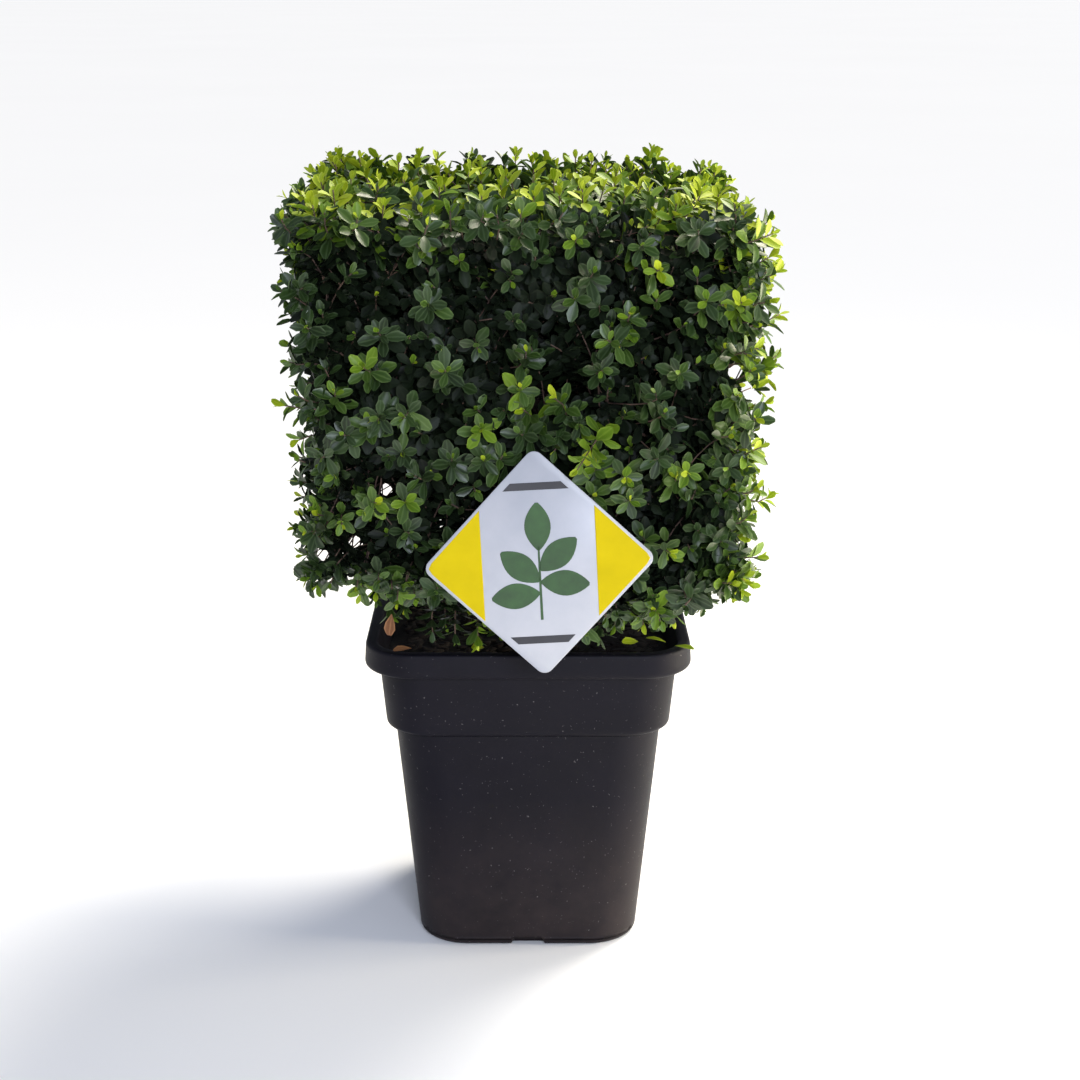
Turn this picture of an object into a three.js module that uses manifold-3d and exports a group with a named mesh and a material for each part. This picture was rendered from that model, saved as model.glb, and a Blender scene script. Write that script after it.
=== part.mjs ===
// A Japanese holly clipped to a block, growing in a square nursery pot with a plant label.
// Millimetres, +Z up, origin on the floor under the middle of the pot, front of the plant towards -Y.
import * as THREE from "three";
import { mergeVertices } from "three/addons/utils/BufferGeometryUtils.js";
import Module from "manifold-3d";

const wasm = await Module();
wasm.setup();

// Driving dimensions of the pot.
const POT_HEIGHT = 290;
const RIM_HALF = 140; // half the width over the lip
const LIP_HEIGHT = 22;
const LIP_TOP = 8; // width of the lip's flat top
const COLLAR_TOP_HALF = 127.5;
const COLLAR_FOOT_HALF = 122.5;
const COLLAR_FOOT_Z = 209;
const BODY_TOP_HALF = 116;
const BODY_FOOT_HALF = 97.5;
const SHOULDER = 9; // height of the rounded step under the collar
const FOOT_EDGE = 6; // radius of the pot's bottom edge
const WALL = 3;
const FLOOR_TOP = 5;
const NOTCH_WIDTH = 30; // drainage gap in the foot of each side
const NOTCH_TOP_WIDTH = 22;
const NOTCH_HEIGHT = 9;
const NOTCH_DEPTH = 8; // how far it runs in under the pot
const LIP_CORNER = 44;
const COLLAR_CORNER = 37;
const BODY_CORNER = 43;
const CORNER_STEPS = 5;

// Driving dimensions of the plant.
const SOIL_TOP = 262;
const TRUNK_BASE_RADIUS = 12;
const TRUNK_TIP_RADIUS = 9;
const ROOT_FLARE = 9; // extra radius of the root flare at soil level
const FORK_Z = 352;
const TRUNK_LEAN = 5; // sideways drift of the fork
const BOUGHS = 6;
const BOUGH_BASE_RADIUS = 5.5;
const BOUGH_TIP_RADIUS = 3.5;
const LEADER_TIP_RADIUS = 5; // the middle stem, where it enters the leaves
const CROWN_HALF = 198; // half the clipped width at the top
const CROWN_FOOT_HALF = 187;
const CROWN_TOP = 676;
const CROWN_FOOT = 308; // lower edge of the leaves where they hang lowest
const CROWN_FOOT_AT = 30; // how far right of the middle that is
const CROWN_FOOT_RISE = 44; // how much higher it is at the sides
const CROWN_FOOT_WIDTH = 105; // how far to each side it takes to rise
const CROWN_EDGE = 30; // radius of the clipped edges
const CROWN_CHAMFER = 30; // how much lower the top is clipped at the right face
const CHAMFER_SLOPE = 0.5;
const DENT_AT = new THREE.Vector3(-190, -180, 450); // a missing tuft on the front left edge
const DENT_DEPTH = 30;
const DENT_WIDTH = 30;
const WINDOW_AT = new THREE.Vector3(-124, -150, 412); // a gap low on the front left
const WINDOW_WAY = new THREE.Vector3(-0.08, 0.95, -0.27); // which runs through to under the back
const WINDOW_RADIUS = 17;
const WINDOW_LENGTH = 500;
const HOLLOW_HALF = 86; // bare space round the boughs, inside the shell of leaves
const HOLLOW_TOP = 568;
const CORE_INSET = 37; // how far the core lies inside the clipped faces
const CORE_EDGE = 60; // radius of the clipped edges that the core is laid inside
const CORE_FOOT = 350;
const CORE_CELLS = 6; // facets along one side of the core
const CORE_ROUGH = 9; // how far the core's facets stand in and out
const TWIG_RADIUS = 3.4;
const TWIG_TIP_RADIUS = 2.4;
const TWIG_STEPS = 2; // straight lengths along one twig
const TWIGS_ALONG = 7; // twig tips along one side of a clipped face
const TWIG_SHAKE = 0.34; // how far a tip leaves its place on the grid, in grid steps
const TIP_CLEAR = 44; // least distance between two twig tips
const TIP_INSET = 17; // how far a twig tip lies inside the clipped face
const TIP_INSET_SHAKE = 7;
const LEAVES_PER_TWIG = 5; // in a whorl at its tip
const LEAF_LENGTH = 43;
const LEAF_WIDTH = 25;
const LEAF_WIDEST = 0.58; // share of the length where the leaf is widest
const LEAF_FOLD = 4; // how far the leaf's sides stand above its midrib
const LEAF_TURN = 2.4; // radians round the stem from one bough to the next
const WHORL_RISE = 6; // height of the whorl above the twig's last ring
const WHORL_NECK = 7; // radius where two leaves part
const LEAF_OPEN = 62; // degrees between a leaf and its twig
const LEAF_OPEN_SHAKE = 14;
const LEAF_BEND = 12; // degrees by which a leaf is bent over at the clipped face
const SAP_COST = 0.35; // how strongly a twig prefers to start near the stem
const LEAST_EDGE = 0.1; // shorter edges, left where leaves cross, are closed up
const GAP = 0.3; // clearance between pieces that meet
const SEED = 21;

// Driving dimensions of the label.
const LABEL_SIDE = 132;
const LABEL_CORNER = 8;
const LABEL_THICKNESS = 1.2;
const LABEL_TURN = 3; // degrees, anticlockwise as seen from the front
const LABEL_LEAN = 4; // degrees, top towards the plant
const LABEL_CENTRE = new THREE.Vector3(9, -196, 388);
const LABEL_ROOM = 12; // how far the leaves keep from the label and its stake
const STAKE_WIDTH = 12;
const STAKE_THICKNESS = 2;
const STAKE_FOOT = new THREE.Vector3(9, -108, SOIL_TOP + GAP); // where the stake meets the soil

const materials = {
  pot: new THREE.MeshStandardMaterial({ color: 0x2b2930, roughness: 0.6, metalness: 0 }),
  soil: new THREE.MeshStandardMaterial({ color: 0x211a15, roughness: 1, metalness: 0 }),
  bark: new THREE.MeshStandardMaterial({ color: 0x5e5044, roughness: 0.9, metalness: 0 }),
  leaf: new THREE.MeshStandardMaterial({ color: 0x3a5526, roughness: 0.45, metalness: 0 }),
  label: new THREE.MeshStandardMaterial({ color: 0xcdd2dd, roughness: 0.4, metalness: 0 }),
};

const plant = new THREE.Group();

// Seeded random numbers from 0 to 1.
function seededRandom(seed) {
  let state = seed >>> 0;
  return () => {
    state = (state + 0x6d2b79f5) >>> 0;
    let t = Math.imul(state ^ (state >>> 15), state | 1);
    t ^= t + Math.imul(t ^ (t >>> 7), t | 61);
    return ((t ^ (t >>> 14)) >>> 0) / 4294967296;
  };
}

// Joining and cutting of closed shapes.
function solidOf(geometry) {
  const bare = geometry.clone();
  bare.deleteAttribute("normal");
  bare.deleteAttribute("uv");
  const merged = mergeVertices(bare, 1e-4);
  return new wasm.Manifold(
    new wasm.Mesh({
      numProp: 3,
      vertProperties: new Float32Array(merged.attributes.position.array),
      triVerts: new Uint32Array(merged.index.array),
    }),
  );
}

function geometryOf(solid) {
  const mesh = solid.getMesh();
  const geometry = new THREE.BufferGeometry();
  geometry.setAttribute("position", new THREE.BufferAttribute(mesh.vertProperties, 3));
  geometry.setIndex(new THREE.BufferAttribute(mesh.triVerts, 1));
  geometry.computeVertexNormals();
  return geometry;
}

// The largest body of a solid, with loose scraps dropped and sealed hollows filled.
function largestBody(solid) {
  const bodies = solid.decompose().filter((body) => body.volume() > 0);
  return bodies.sort((a, b) => b.volume() - a.volume())[0];
}

function addPiece(name, geometry, material) {
  const mesh = new THREE.Mesh(geometry, material);
  mesh.name = name;
  plant.add(mesh);
}

// A square outline with round corners, as points of one level of the pot.
function roundedSquare(half, corner) {
  const outline = new THREE.Shape();
  const middle = half - corner;
  for (let side = 0; side < 4; side++) {
    const start = (side * Math.PI) / 2;
    const cx = middle * Math.sign(Math.cos(start + Math.PI / 4));
    const cy = middle * Math.sign(Math.sin(start + Math.PI / 4));
    outline.absarc(cx, cy, corner, start, start + Math.PI / 2);
  }
  const corners = outline.curves.filter((curve) => curve.isEllipseCurve);
  return corners.flatMap((curve) => curve.getPoints(CORNER_STEPS));
}

// A closed shape through a row of levels, each a rounded square { half, corner, z }, flat at both ends.
function loftSquares(levels) {
  const rings = levels.map(({ half, corner }) => roundedSquare(half, corner));
  const around = rings[0].length;
  const positions = [];
  rings.forEach((ring, k) => ring.forEach((p) => positions.push(p.x, p.y, levels[k].z)));
  const index = [];
  for (let k = 0; k + 1 < rings.length; k++) {
    for (let i = 0; i < around; i++) {
      const a = k * around + i;
      const b = k * around + ((i + 1) % around);
      index.push(a, b, b + around, a, b + around, a + around);
    }
  }
  const last = (rings.length - 1) * around;
  for (let i = 1; i + 1 < around; i++) {
    index.push(0, i + 1, i, last, last + i, last + i + 1);
  }
  const geometry = new THREE.BufferGeometry();
  geometry.setAttribute("position", new THREE.Float32BufferAttribute(positions, 3));
  geometry.setIndex(index);
  return geometry;
}

// A limb along a curve: a round section of radiusAt(share of length, angle), flat at both ends.
function limb(curve, radiusAt, sides, steps) {
  const geometry = new THREE.CylinderGeometry(1, 1, 1, sides, steps);
  const frames = curve.computeFrenetFrames(steps, false);
  const position = geometry.attributes.position;
  for (let i = 0; i < position.count; i++) {
    const share = position.getY(i) + 0.5;
    const across = position.getX(i);
    const beside = position.getZ(i);
    const step = Math.round(share * steps);
    const radius = radiusAt(share, Math.atan2(beside, across));
    const point = curve.getPointAt(share);
    point.addScaledVector(frames.normals[step], across * radius);
    point.addScaledVector(frames.binormals[step], -beside * radius);
    position.setXYZ(i, point.x, point.y, point.z);
  }
  return geometry;
}

const taper = (from, to) => (share) => from + (to - from) * share;

// The pot: its outside from the foot up to the lip, then its inside from the lip down to the floor.
function potOutside() {
  const lipFoot = POT_HEIGHT - LIP_HEIGHT;
  const rounding = FOOT_EDGE * (1 - Math.SQRT1_2);
  return [
    { half: BODY_FOOT_HALF - FOOT_EDGE, corner: BODY_CORNER - FOOT_EDGE, z: 0 },
    { half: BODY_FOOT_HALF - rounding, corner: BODY_CORNER - rounding, z: rounding },
    { half: BODY_FOOT_HALF, corner: BODY_CORNER, z: FOOT_EDGE },
    { half: BODY_TOP_HALF, corner: BODY_CORNER, z: COLLAR_FOOT_Z },
    { half: COLLAR_FOOT_HALF - 2, corner: COLLAR_CORNER, z: COLLAR_FOOT_Z + SHOULDER / 3 },
    { half: COLLAR_FOOT_HALF, corner: COLLAR_CORNER, z: COLLAR_FOOT_Z + SHOULDER },
    { half: COLLAR_TOP_HALF, corner: COLLAR_CORNER, z: lipFoot - 1 },
    { half: RIM_HALF - 6, corner: LIP_CORNER - 6, z: lipFoot },
    { half: RIM_HALF - 1.5, corner: LIP_CORNER - 1.5, z: lipFoot + 3 },
    { half: RIM_HALF, corner: LIP_CORNER, z: lipFoot + 8 },
    { half: RIM_HALF - 1, corner: LIP_CORNER - 1, z: POT_HEIGHT - 4 },
    { half: RIM_HALF - 3, corner: LIP_CORNER - 3, z: POT_HEIGHT },
  ];
}

// The inside wall at each level, from the floor up to under the lip.
function potInside() {
  const levels = [
    { half: BODY_FOOT_HALF, corner: BODY_CORNER, z: FLOOR_TOP },
    { half: BODY_TOP_HALF, corner: BODY_CORNER, z: COLLAR_FOOT_Z },
    { half: COLLAR_FOOT_HALF, corner: COLLAR_CORNER, z: COLLAR_FOOT_Z + SHOULDER + WALL },
    { half: COLLAR_TOP_HALF, corner: COLLAR_CORNER, z: POT_HEIGHT - LIP_HEIGHT },
  ];
  return levels.map(({ half, corner, z }) => ({ half: half - WALL, corner: corner - WALL, z }));
}

function makePot() {
  const lipInside = RIM_HALF - 3 - LIP_TOP;
  const throat = { half: lipInside, corner: LIP_CORNER - 3 - LIP_TOP, z: POT_HEIGHT };
  const lipRound = { half: lipInside - 1.5, corner: throat.corner - 1.5, z: POT_HEIGHT - 3 };
  let pot = solidOf(loftSquares([...potOutside(), throat, lipRound, ...potInside().reverse()]));
  const notchOutline = new THREE.Shape([
    new THREE.Vector2(-NOTCH_WIDTH / 2, -1),
    new THREE.Vector2(NOTCH_WIDTH / 2, -1),
    new THREE.Vector2(NOTCH_TOP_WIDTH / 2, NOTCH_HEIGHT),
    new THREE.Vector2(-NOTCH_TOP_WIDTH / 2, NOTCH_HEIGHT),
  ]);
  for (let side = 0; side < 4; side++) {
    const notch = new THREE.ExtrudeGeometry(notchOutline, { depth: 2 * NOTCH_DEPTH, bevelEnabled: false });
    notch.rotateX(Math.PI / 2).translate(0, NOTCH_DEPTH - BODY_FOOT_HALF, 0).rotateZ((side * Math.PI) / 2);
    pot = pot.subtract(solidOf(notch));
  }
  addPiece("pot", geometryOf(pot), materials.pot);
}

// Potting soil that fills the pot to a little under its lip.
function makeSoil() {
  const wall = potInside();
  const share = (SOIL_TOP - wall[2].z) / (wall[3].z - wall[2].z);
  const topHalf = wall[2].half + share * (wall[3].half - wall[2].half);
  const levels = [...wall.slice(0, 3), { half: topHalf, corner: wall[3].corner, z: SOIL_TOP }];
  levels[0].z += GAP;
  const clear = levels.map(({ half, corner, z }) => ({ half: half - GAP, corner: corner - GAP, z }));
  addPiece("soil", loftSquares(clear), materials.soil);
}

// The trunk, from a flat cut on the soil up to its fork, with a fluted root flare.
const trunkCurve = new THREE.QuadraticBezierCurve3(
  new THREE.Vector3(0, 0, SOIL_TOP - ROOT_FLARE),
  new THREE.Vector3(-TRUNK_LEAN, TRUNK_LEAN / 2, (SOIL_TOP + FORK_Z) / 2),
  new THREE.Vector3(TRUNK_LEAN / 2, -TRUNK_LEAN / 2, FORK_Z),
);

function trunkRadius(clearance) {
  const straight = taper(TRUNK_BASE_RADIUS, TRUNK_TIP_RADIUS);
  return (share, angle) => {
    const flare = ROOT_FLARE * Math.exp(-share * 6) * (1 + 0.35 * Math.cos(5 * angle));
    return straight(share) + flare + clearance;
  };
}

function trunkSolid(clearance) {
  const whole = solidOf(limb(trunkCurve, trunkRadius(clearance), 10, 8));
  return whole.trimByPlane([0, 0, 1], SOIL_TOP + GAP);
}

// The clipped block: a box with rounded edges that widens upwards and whose foot rises to both sides.
function crownHalf(z) {
  const share = (z - CROWN_FOOT) / (CROWN_TOP - CROWN_FOOT);
  return taper(CROWN_FOOT_HALF, CROWN_HALF)(THREE.MathUtils.clamp(share, 0, 1));
}

function crownFoot(x) {
  const away = (x - CROWN_FOOT_AT) / CROWN_FOOT_WIDTH;
  return CROWN_FOOT + CROWN_FOOT_RISE * (1 - Math.exp(-away * away));
}

// The point under a point of the block's faces, on a skin with the given edge radius that lies inset in the
// block, and the way out there.
function onCrownSkin(point, inset, edge = CROWN_EDGE) {
  const half = crownHalf(point.z) - edge;
  const nearest = new THREE.Vector3(
    THREE.MathUtils.clamp(point.x, -half, half),
    THREE.MathUtils.clamp(point.y, -half, half),
    THREE.MathUtils.clamp(point.z, crownFoot(point.x) + edge, CROWN_TOP - edge),
  );
  const outward = point.clone().sub(nearest).normalize();
  return { tip: nearest.addScaledVector(outward, edge - inset), outward };
}

// How far a point stands out of the clipped block; negative inside it.
function outsideCrown(point) {
  const half = crownHalf(point.z) - CROWN_EDGE;
  const foot = crownFoot(point.x);
  const over = new THREE.Vector3(
    Math.abs(point.x) - half,
    Math.abs(point.y) - half,
    Math.abs(point.z - (CROWN_TOP + foot) / 2) - (CROWN_TOP - foot) / 2 + CROWN_EDGE,
  );
  const inner = Math.min(Math.max(over.x, over.y, over.z), 0);
  const box = over.max(new THREE.Vector3()).length() + inner - CROWN_EDGE;
  const above = point.z - CROWN_TOP + CROWN_CHAMFER + CHAMFER_SLOPE * (point.x - CROWN_HALF);
  const chamfer = above / Math.hypot(1, CHAMFER_SLOPE);
  const dent = DENT_DEPTH * Math.exp(-((point.distanceTo(DENT_AT) / DENT_WIDTH) ** 2));
  return Math.max(box + dent, chamfer);
}

function insideHollow(point, margin) {
  const half = HOLLOW_HALF + margin;
  return Math.abs(point.x) < half && Math.abs(point.y) < half && point.z < HOLLOW_TOP + margin;
}

// The label: a square card set on its corner, on a flat stake that stands on the soil.
function labelFrame() {
  const turn = new THREE.Matrix4().makeRotationZ(THREE.MathUtils.degToRad(45 + LABEL_TURN));
  const upright = new THREE.Matrix4().makeRotationX(Math.PI / 2 - THREE.MathUtils.degToRad(LABEL_LEAN));
  const place = new THREE.Matrix4().makeTranslation(LABEL_CENTRE);
  return place.multiply(upright).multiply(turn);
}

function labelSolid(clearance) {
  const half = LABEL_SIDE / 2 + clearance;
  const middle = half - LABEL_CORNER;
  const card = new THREE.Shape();
  card.absarc(middle, middle, LABEL_CORNER, 0, Math.PI / 2);
  card.absarc(-middle, middle, LABEL_CORNER, Math.PI / 2, Math.PI);
  card.absarc(-middle, -middle, LABEL_CORNER, Math.PI, Math.PI * 1.5);
  card.absarc(middle, -middle, LABEL_CORNER, Math.PI * 1.5, Math.PI * 2);
  const depth = LABEL_THICKNESS + 2 * clearance;
  const options = { depth, bevelEnabled: false, curveSegments: CORNER_STEPS };
  const sheet = new THREE.ExtrudeGeometry(card, options);
  sheet.translate(0, 0, -depth / 2).applyMatrix4(labelFrame());
  const run = LABEL_CENTRE.clone().sub(STAKE_FOOT);
  const below = STAKE_WIDTH / 2;
  const length = run.length() + below - 1;
  const stake = new THREE.BoxGeometry(
    STAKE_WIDTH + 2 * clearance,
    STAKE_THICKNESS + 2 * clearance,
    length,
  );
  stake.translate(0, 0, length / 2 - below);
  stake.rotateX(Math.atan2(-run.y, run.z));
  stake.translate(STAKE_FOOT.x, STAKE_FOOT.y, STAKE_FOOT.z);
  const label = solidOf(sheet).add(solidOf(stake));
  return label.trimByPlane([0, 0, 1], STAKE_FOOT.z);
}

// Whether a point lies in the room that the leaves leave to the label and its stake.
function inLabelRoom(point) {
  const local = point.clone().applyMatrix4(labelFrame().invert());
  const beside = Math.max(Math.abs(local.x), Math.abs(local.y)) - LABEL_SIDE / 2;
  const stake = new THREE.Line3(STAKE_FOOT, LABEL_CENTRE);
  const nearest = stake.closestPointToPoint(point, true, new THREE.Vector3());
  return (beside < LABEL_ROOM && local.z > -LABEL_ROOM / 2) || nearest.distanceTo(point) < LABEL_ROOM;
}

const random = seededRandom(SEED);
const jitter = (reach) => (random() * 2 - 1) * reach;

// The middle stem goes on from the trunk's fork to the top of the bare space, and into the leaves there.
const leaderStart = trunkCurve.getPointAt(1).addScaledVector(trunkCurve.getTangentAt(1), GAP);
const leaderCurve = new THREE.QuadraticBezierCurve3(
  leaderStart,
  leaderStart.clone().addScaledVector(trunkCurve.getTangentAt(1), (HOLLOW_TOP - FORK_Z) / 2),
  new THREE.Vector3(0, 0, HOLLOW_TOP + CORE_INSET),
);

function leaderSolid(clearance) {
  const radius = taper(TRUNK_TIP_RADIUS + clearance, LEADER_TIP_RADIUS + clearance);
  return solidOf(limb(leaderCurve, radius, 8, 6));
}

// Boughs climb round the trunk, one past the other, and end where they enter the shell of leaves.
function boughCurve(k) {
  const turn = 0.5 + k * LEAF_TURN;
  const out = new THREE.Vector3(Math.cos(turn), Math.sin(turn), 0);
  const reach = HOLLOW_HALF / Math.max(Math.abs(out.x), Math.abs(out.y)) + 12;
  const share = (k + 0.5) / BOUGHS;
  const start = trunkCurve.getPointAt(0.48 + 0.44 * share).addScaledVector(out, 6);
  const end = out.clone().multiplyScalar(reach).setZ(taper(405, 535)(share));
  const bend = out.clone().multiplyScalar(reach * 0.5).setZ(start.z + 0.3 * (end.z - start.z));
  return new THREE.QuadraticBezierCurve3(start, bend, end);
}

function makeBoughs(woodRoom) {
  const width = 2 * (HOLLOW_HALF - GAP);
  const bare = new THREE.BoxGeometry(width, width, HOLLOW_TOP - GAP).translate(0, 0, HOLLOW_TOP / 2 - GAP);
  const radius = taper(BOUGH_BASE_RADIUS, BOUGH_TIP_RADIUS);
  for (let k = 0; k < BOUGHS; k++) {
    const whole = solidOf(limb(boughCurve(k), radius, 6, 6));
    const bough = largestBody(whole.intersect(solidOf(bare)).subtract(woodRoom));
    addPiece(`bough_${k + 1}`, geometryOf(bough), materials.bark);
  }
}

// The core that the twigs stand out of: a rough clipped block, hollow round the boughs,
// with one gap through it.
function crownCore() {
  const block = new THREE.BoxGeometry(2, 2, 2, CORE_CELLS, CORE_CELLS, CORE_CELLS - 1);
  const merged = mergeVertices(block.deleteAttribute("normal").deleteAttribute("uv"), 1e-4);
  const position = merged.attributes.position;
  for (let i = 0; i < position.count; i++) {
    const z = THREE.MathUtils.mapLinear(position.getZ(i), -1, 1, CORE_FOOT, CROWN_TOP);
    const far = new THREE.Vector3(position.getX(i), position.getY(i), 0).multiplyScalar(crownHalf(z));
    const skin = onCrownSkin(far.setZ(z), CORE_INSET + jitter(CORE_ROUGH), CORE_EDGE).tip;
    position.setXYZ(i, skin.x, skin.y, Math.max(skin.z, CORE_FOOT + jitter(CORE_ROUGH)));
  }
  const bare = new THREE.BoxGeometry(2 * HOLLOW_HALF, 2 * HOLLOW_HALF, HOLLOW_TOP);
  bare.translate(0, 0, HOLLOW_TOP / 2);
  const gap = new THREE.CylinderGeometry(WINDOW_RADIUS, WINDOW_RADIUS, WINDOW_LENGTH, 7);
  const upright = new THREE.Vector3(0, 1, 0);
  const turn = new THREE.Quaternion().setFromUnitVectors(upright, WINDOW_WAY.clone().normalize());
  gap.applyQuaternion(turn).translate(...WINDOW_AT);
  return solidOf(merged).subtract(solidOf(bare)).subtract(solidOf(gap));
}

// Twig tips on a shaken grid over the four sides, the top and the foot, each carried on
// to the rounded skin.
function spreadTips() {
  const tips = [];
  const place = (i) => ((i + 0.5 + jitter(TWIG_SHAKE)) / TWIGS_ALONG) * 2 - 1;
  for (let i = 0; i < TWIGS_ALONG; i++) {
    for (let k = 0; k < TWIGS_ALONG; k++) {
      for (let face = 0; face < 6; face++) {
        const point = new THREE.Vector3(place(i), face > 3 ? place(k) : -1, 0).multiplyScalar(CROWN_HALF);
        point.z = THREE.MathUtils.mapLinear(place(k), -1, 1, CROWN_FOOT, CROWN_TOP);
        if (face < 4) point.applyAxisAngle(new THREE.Vector3(0, 0, 1), (face * Math.PI) / 2);
        if (face === 4) point.z = CROWN_TOP;
        if (face === 5) point.z = crownFoot(point.x);
        const next = onCrownSkin(point, TIP_INSET + jitter(TIP_INSET_SHAKE));
        const apart = tips.every(({ tip }) => tip.distanceTo(next.tip) > TIP_CLEAR);
        if (apart && !insideHollow(next.tip, TIP_INSET)) tips.push(next);
      }
    }
  }
  return tips;
}

// A twig from the wood to its tip, which it reaches square to the clipped face.
function twigCurve(from, tip, outward) {
  const bend = tip.clone().addScaledVector(outward, -0.5 * from.distanceTo(tip));
  return new THREE.QuadraticBezierCurve3(from, bend, tip);
}

// The growing rule: tips, nearest the wood's start first, each join the wood where the way is shortest.
function growTwigs(tips) {
  const wood = [{ point: leaderCurve.getPointAt(1), way: 0 }];
  for (let k = 0; k < BOUGHS; k++) wood.push({ point: boughCurve(k).getPointAt(1), way: 0 });
  const limbs = wood.slice(0, BOUGHS + 1);
  const toWood = ({ tip }) => Math.min(...limbs.map(({ point }) => point.distanceTo(tip)));
  const order = tips.map((item) => ({ ...item, away: toWood(item) })).sort((a, b) => a.away - b.away);
  return order.map(({ tip, outward }) => {
    const ways = wood.map(({ point, way }) => {
      const curve = twigCurve(point, tip, outward);
      const bare = curve.getPoints(4).some((place) => insideHollow(place, TWIG_RADIUS));
      return { curve, way, cost: point.distanceTo(tip) + SAP_COST * way + (bare ? CROWN_TOP : 0) };
    });
    const { curve, way } = ways.reduce((best, next) => (next.cost < best.cost ? next : best));
    wood.push({ point: curve.getPoint(0.6), way: way + 0.6 * curve.getLength() });
    return curve;
  });
}

// A leaf or twig stays inside the clipped block, out of the bare space and clear of the label.
function keepsToSpace(points) {
  return points.every((point) => outsideCrown(point) < 0 && !insideHollow(point, 2) && !inLabelRoom(point));
}

// The outline of one leaf of a whorl: its two sides where it is widest, and its tip between them.
function leafOutline(root, heading, spoke, open, size) {
  const angle = THREE.MathUtils.degToRad(open);
  const along = heading.clone().multiplyScalar(Math.cos(angle)).addScaledVector(spoke, Math.sin(angle));
  const beside = new THREE.Vector3().crossVectors(heading, spoke);
  const up = new THREE.Vector3().crossVectors(along, beside);
  const middle = root.clone().addScaledVector(along, LEAF_WIDEST * LEAF_LENGTH * size);
  middle.addScaledVector(up, LEAF_FOLD * size);
  const half = (LEAF_WIDTH * size) / 2;
  return [
    middle.clone().addScaledVector(beside, -half),
    root.clone().addScaledVector(along, LEAF_LENGTH * size),
    middle.clone().addScaledVector(beside, half),
  ];
}

// The outline of the whorl of leaves at a twig's tip: a star whose points are the leaves. A leaf that would
// leave its space is bent further over, and cut short if that is not enough.
function whorlOutline(root, heading, spokeAt) {
  const outline = [];
  for (let k = 0; k < LEAVES_PER_TWIG; k++) {
    const spoke = spokeAt((k + 0.5 + jitter(0.06)) / LEAVES_PER_TWIG);
    const size = 1 + jitter(0.2);
    const first = LEAF_OPEN + jitter(LEAF_OPEN_SHAKE);
    const bent = (bend) => leafOutline(root, heading, spoke, first + bend * LEAF_BEND, size);
    const tries = [0, 1, 2].map(bent);
    const cutShort = leafOutline(root, heading, spoke, first, WHORL_NECK / LEAF_LENGTH);
    outline.push(root.clone().addScaledVector(spokeAt(k / LEAVES_PER_TWIG), WHORL_NECK));
    outline.push(...(tries.find(keepsToSpace) ?? cutShort));
  }
  return outline;
}

// A three-sided twig whose last ring opens into the lower side of its whorl; a fan of faces closes the top.
function spray(twig) {
  const { normals, tangents } = twig.computeFrenetFrames(TWIG_STEPS, false);
  const firstTurn = random() * Math.PI * 2;
  const spokesRound = (step) => (turns) =>
    normals[step].clone().applyAxisAngle(tangents[step], firstTurn + turns * Math.PI * 2);
  const points = [];
  for (let step = 0; step <= TWIG_STEPS; step++) {
    const share = step / TWIG_STEPS;
    const radius = taper(TWIG_RADIUS, TWIG_TIP_RADIUS)(share);
    for (const turns of [1 / 6, 1 / 2, 5 / 6]) {
      points.push(twig.getPointAt(share).addScaledVector(spokesRound(step)(turns), radius));
    }
  }
  const heading = tangents[TWIG_STEPS];
  const root = twig.getPointAt(1).addScaledVector(heading, WHORL_RISE);
  const outline = whorlOutline(root, heading, spokesRound(TWIG_STEPS));
  const index = [0, 2, 1];
  const quad = (a, b, c, d) => index.push(a, b, c, a, c, d);
  for (let a = 0; a < 3 * TWIG_STEPS; a++) {
    const b = a % 3 === 2 ? a - 2 : a + 1;
    quad(a, b, b + 3, a + 3);
  }
  const ring = 3 * TWIG_STEPS;
  const edge = points.length;
  const top = edge + outline.length;
  const owner = (i) => ring + Math.floor((3 * (i % outline.length)) / outline.length);
  outline.forEach((_, i) => {
    const here = edge + i;
    const next = edge + ((i + 1) % outline.length);
    index.push(owner(i), next, here, here, next, top);
    if (owner(i) !== owner(i + 1)) index.push(owner(i), owner(i + 1), next);
  });
  const geometry = new THREE.BufferGeometry();
  geometry.setFromPoints([...points, ...outline, root.addScaledVector(heading, WHORL_RISE / 2)]);
  geometry.setIndex(index);
  return geometry;
}

function makeFoliage(labelRoom) {
  const pieces = [crownCore(), leaderSolid(0)];
  for (const twig of growTwigs(spreadTips())) {
    if (keepsToSpace(twig.getPoints(TWIG_STEPS).slice(1))) pieces.push(solidOf(spray(twig)));
  }
  const joined = wasm.Manifold.union(pieces).subtract(labelRoom);
  const foliage = largestBody(joined.simplify(LEAST_EDGE));
  addPiece("foliage", geometryOf(foliage), materials.leaf);
}

makePot();
makeSoil();
addPiece("plant_label", geometryOf(labelSolid(0)), materials.label);
addPiece("trunk", geometryOf(trunkSolid(0)), materials.bark);
makeBoughs(trunkSolid(GAP).add(leaderSolid(GAP)));
makeFoliage(labelSolid(1.5));

export default plant;
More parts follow.
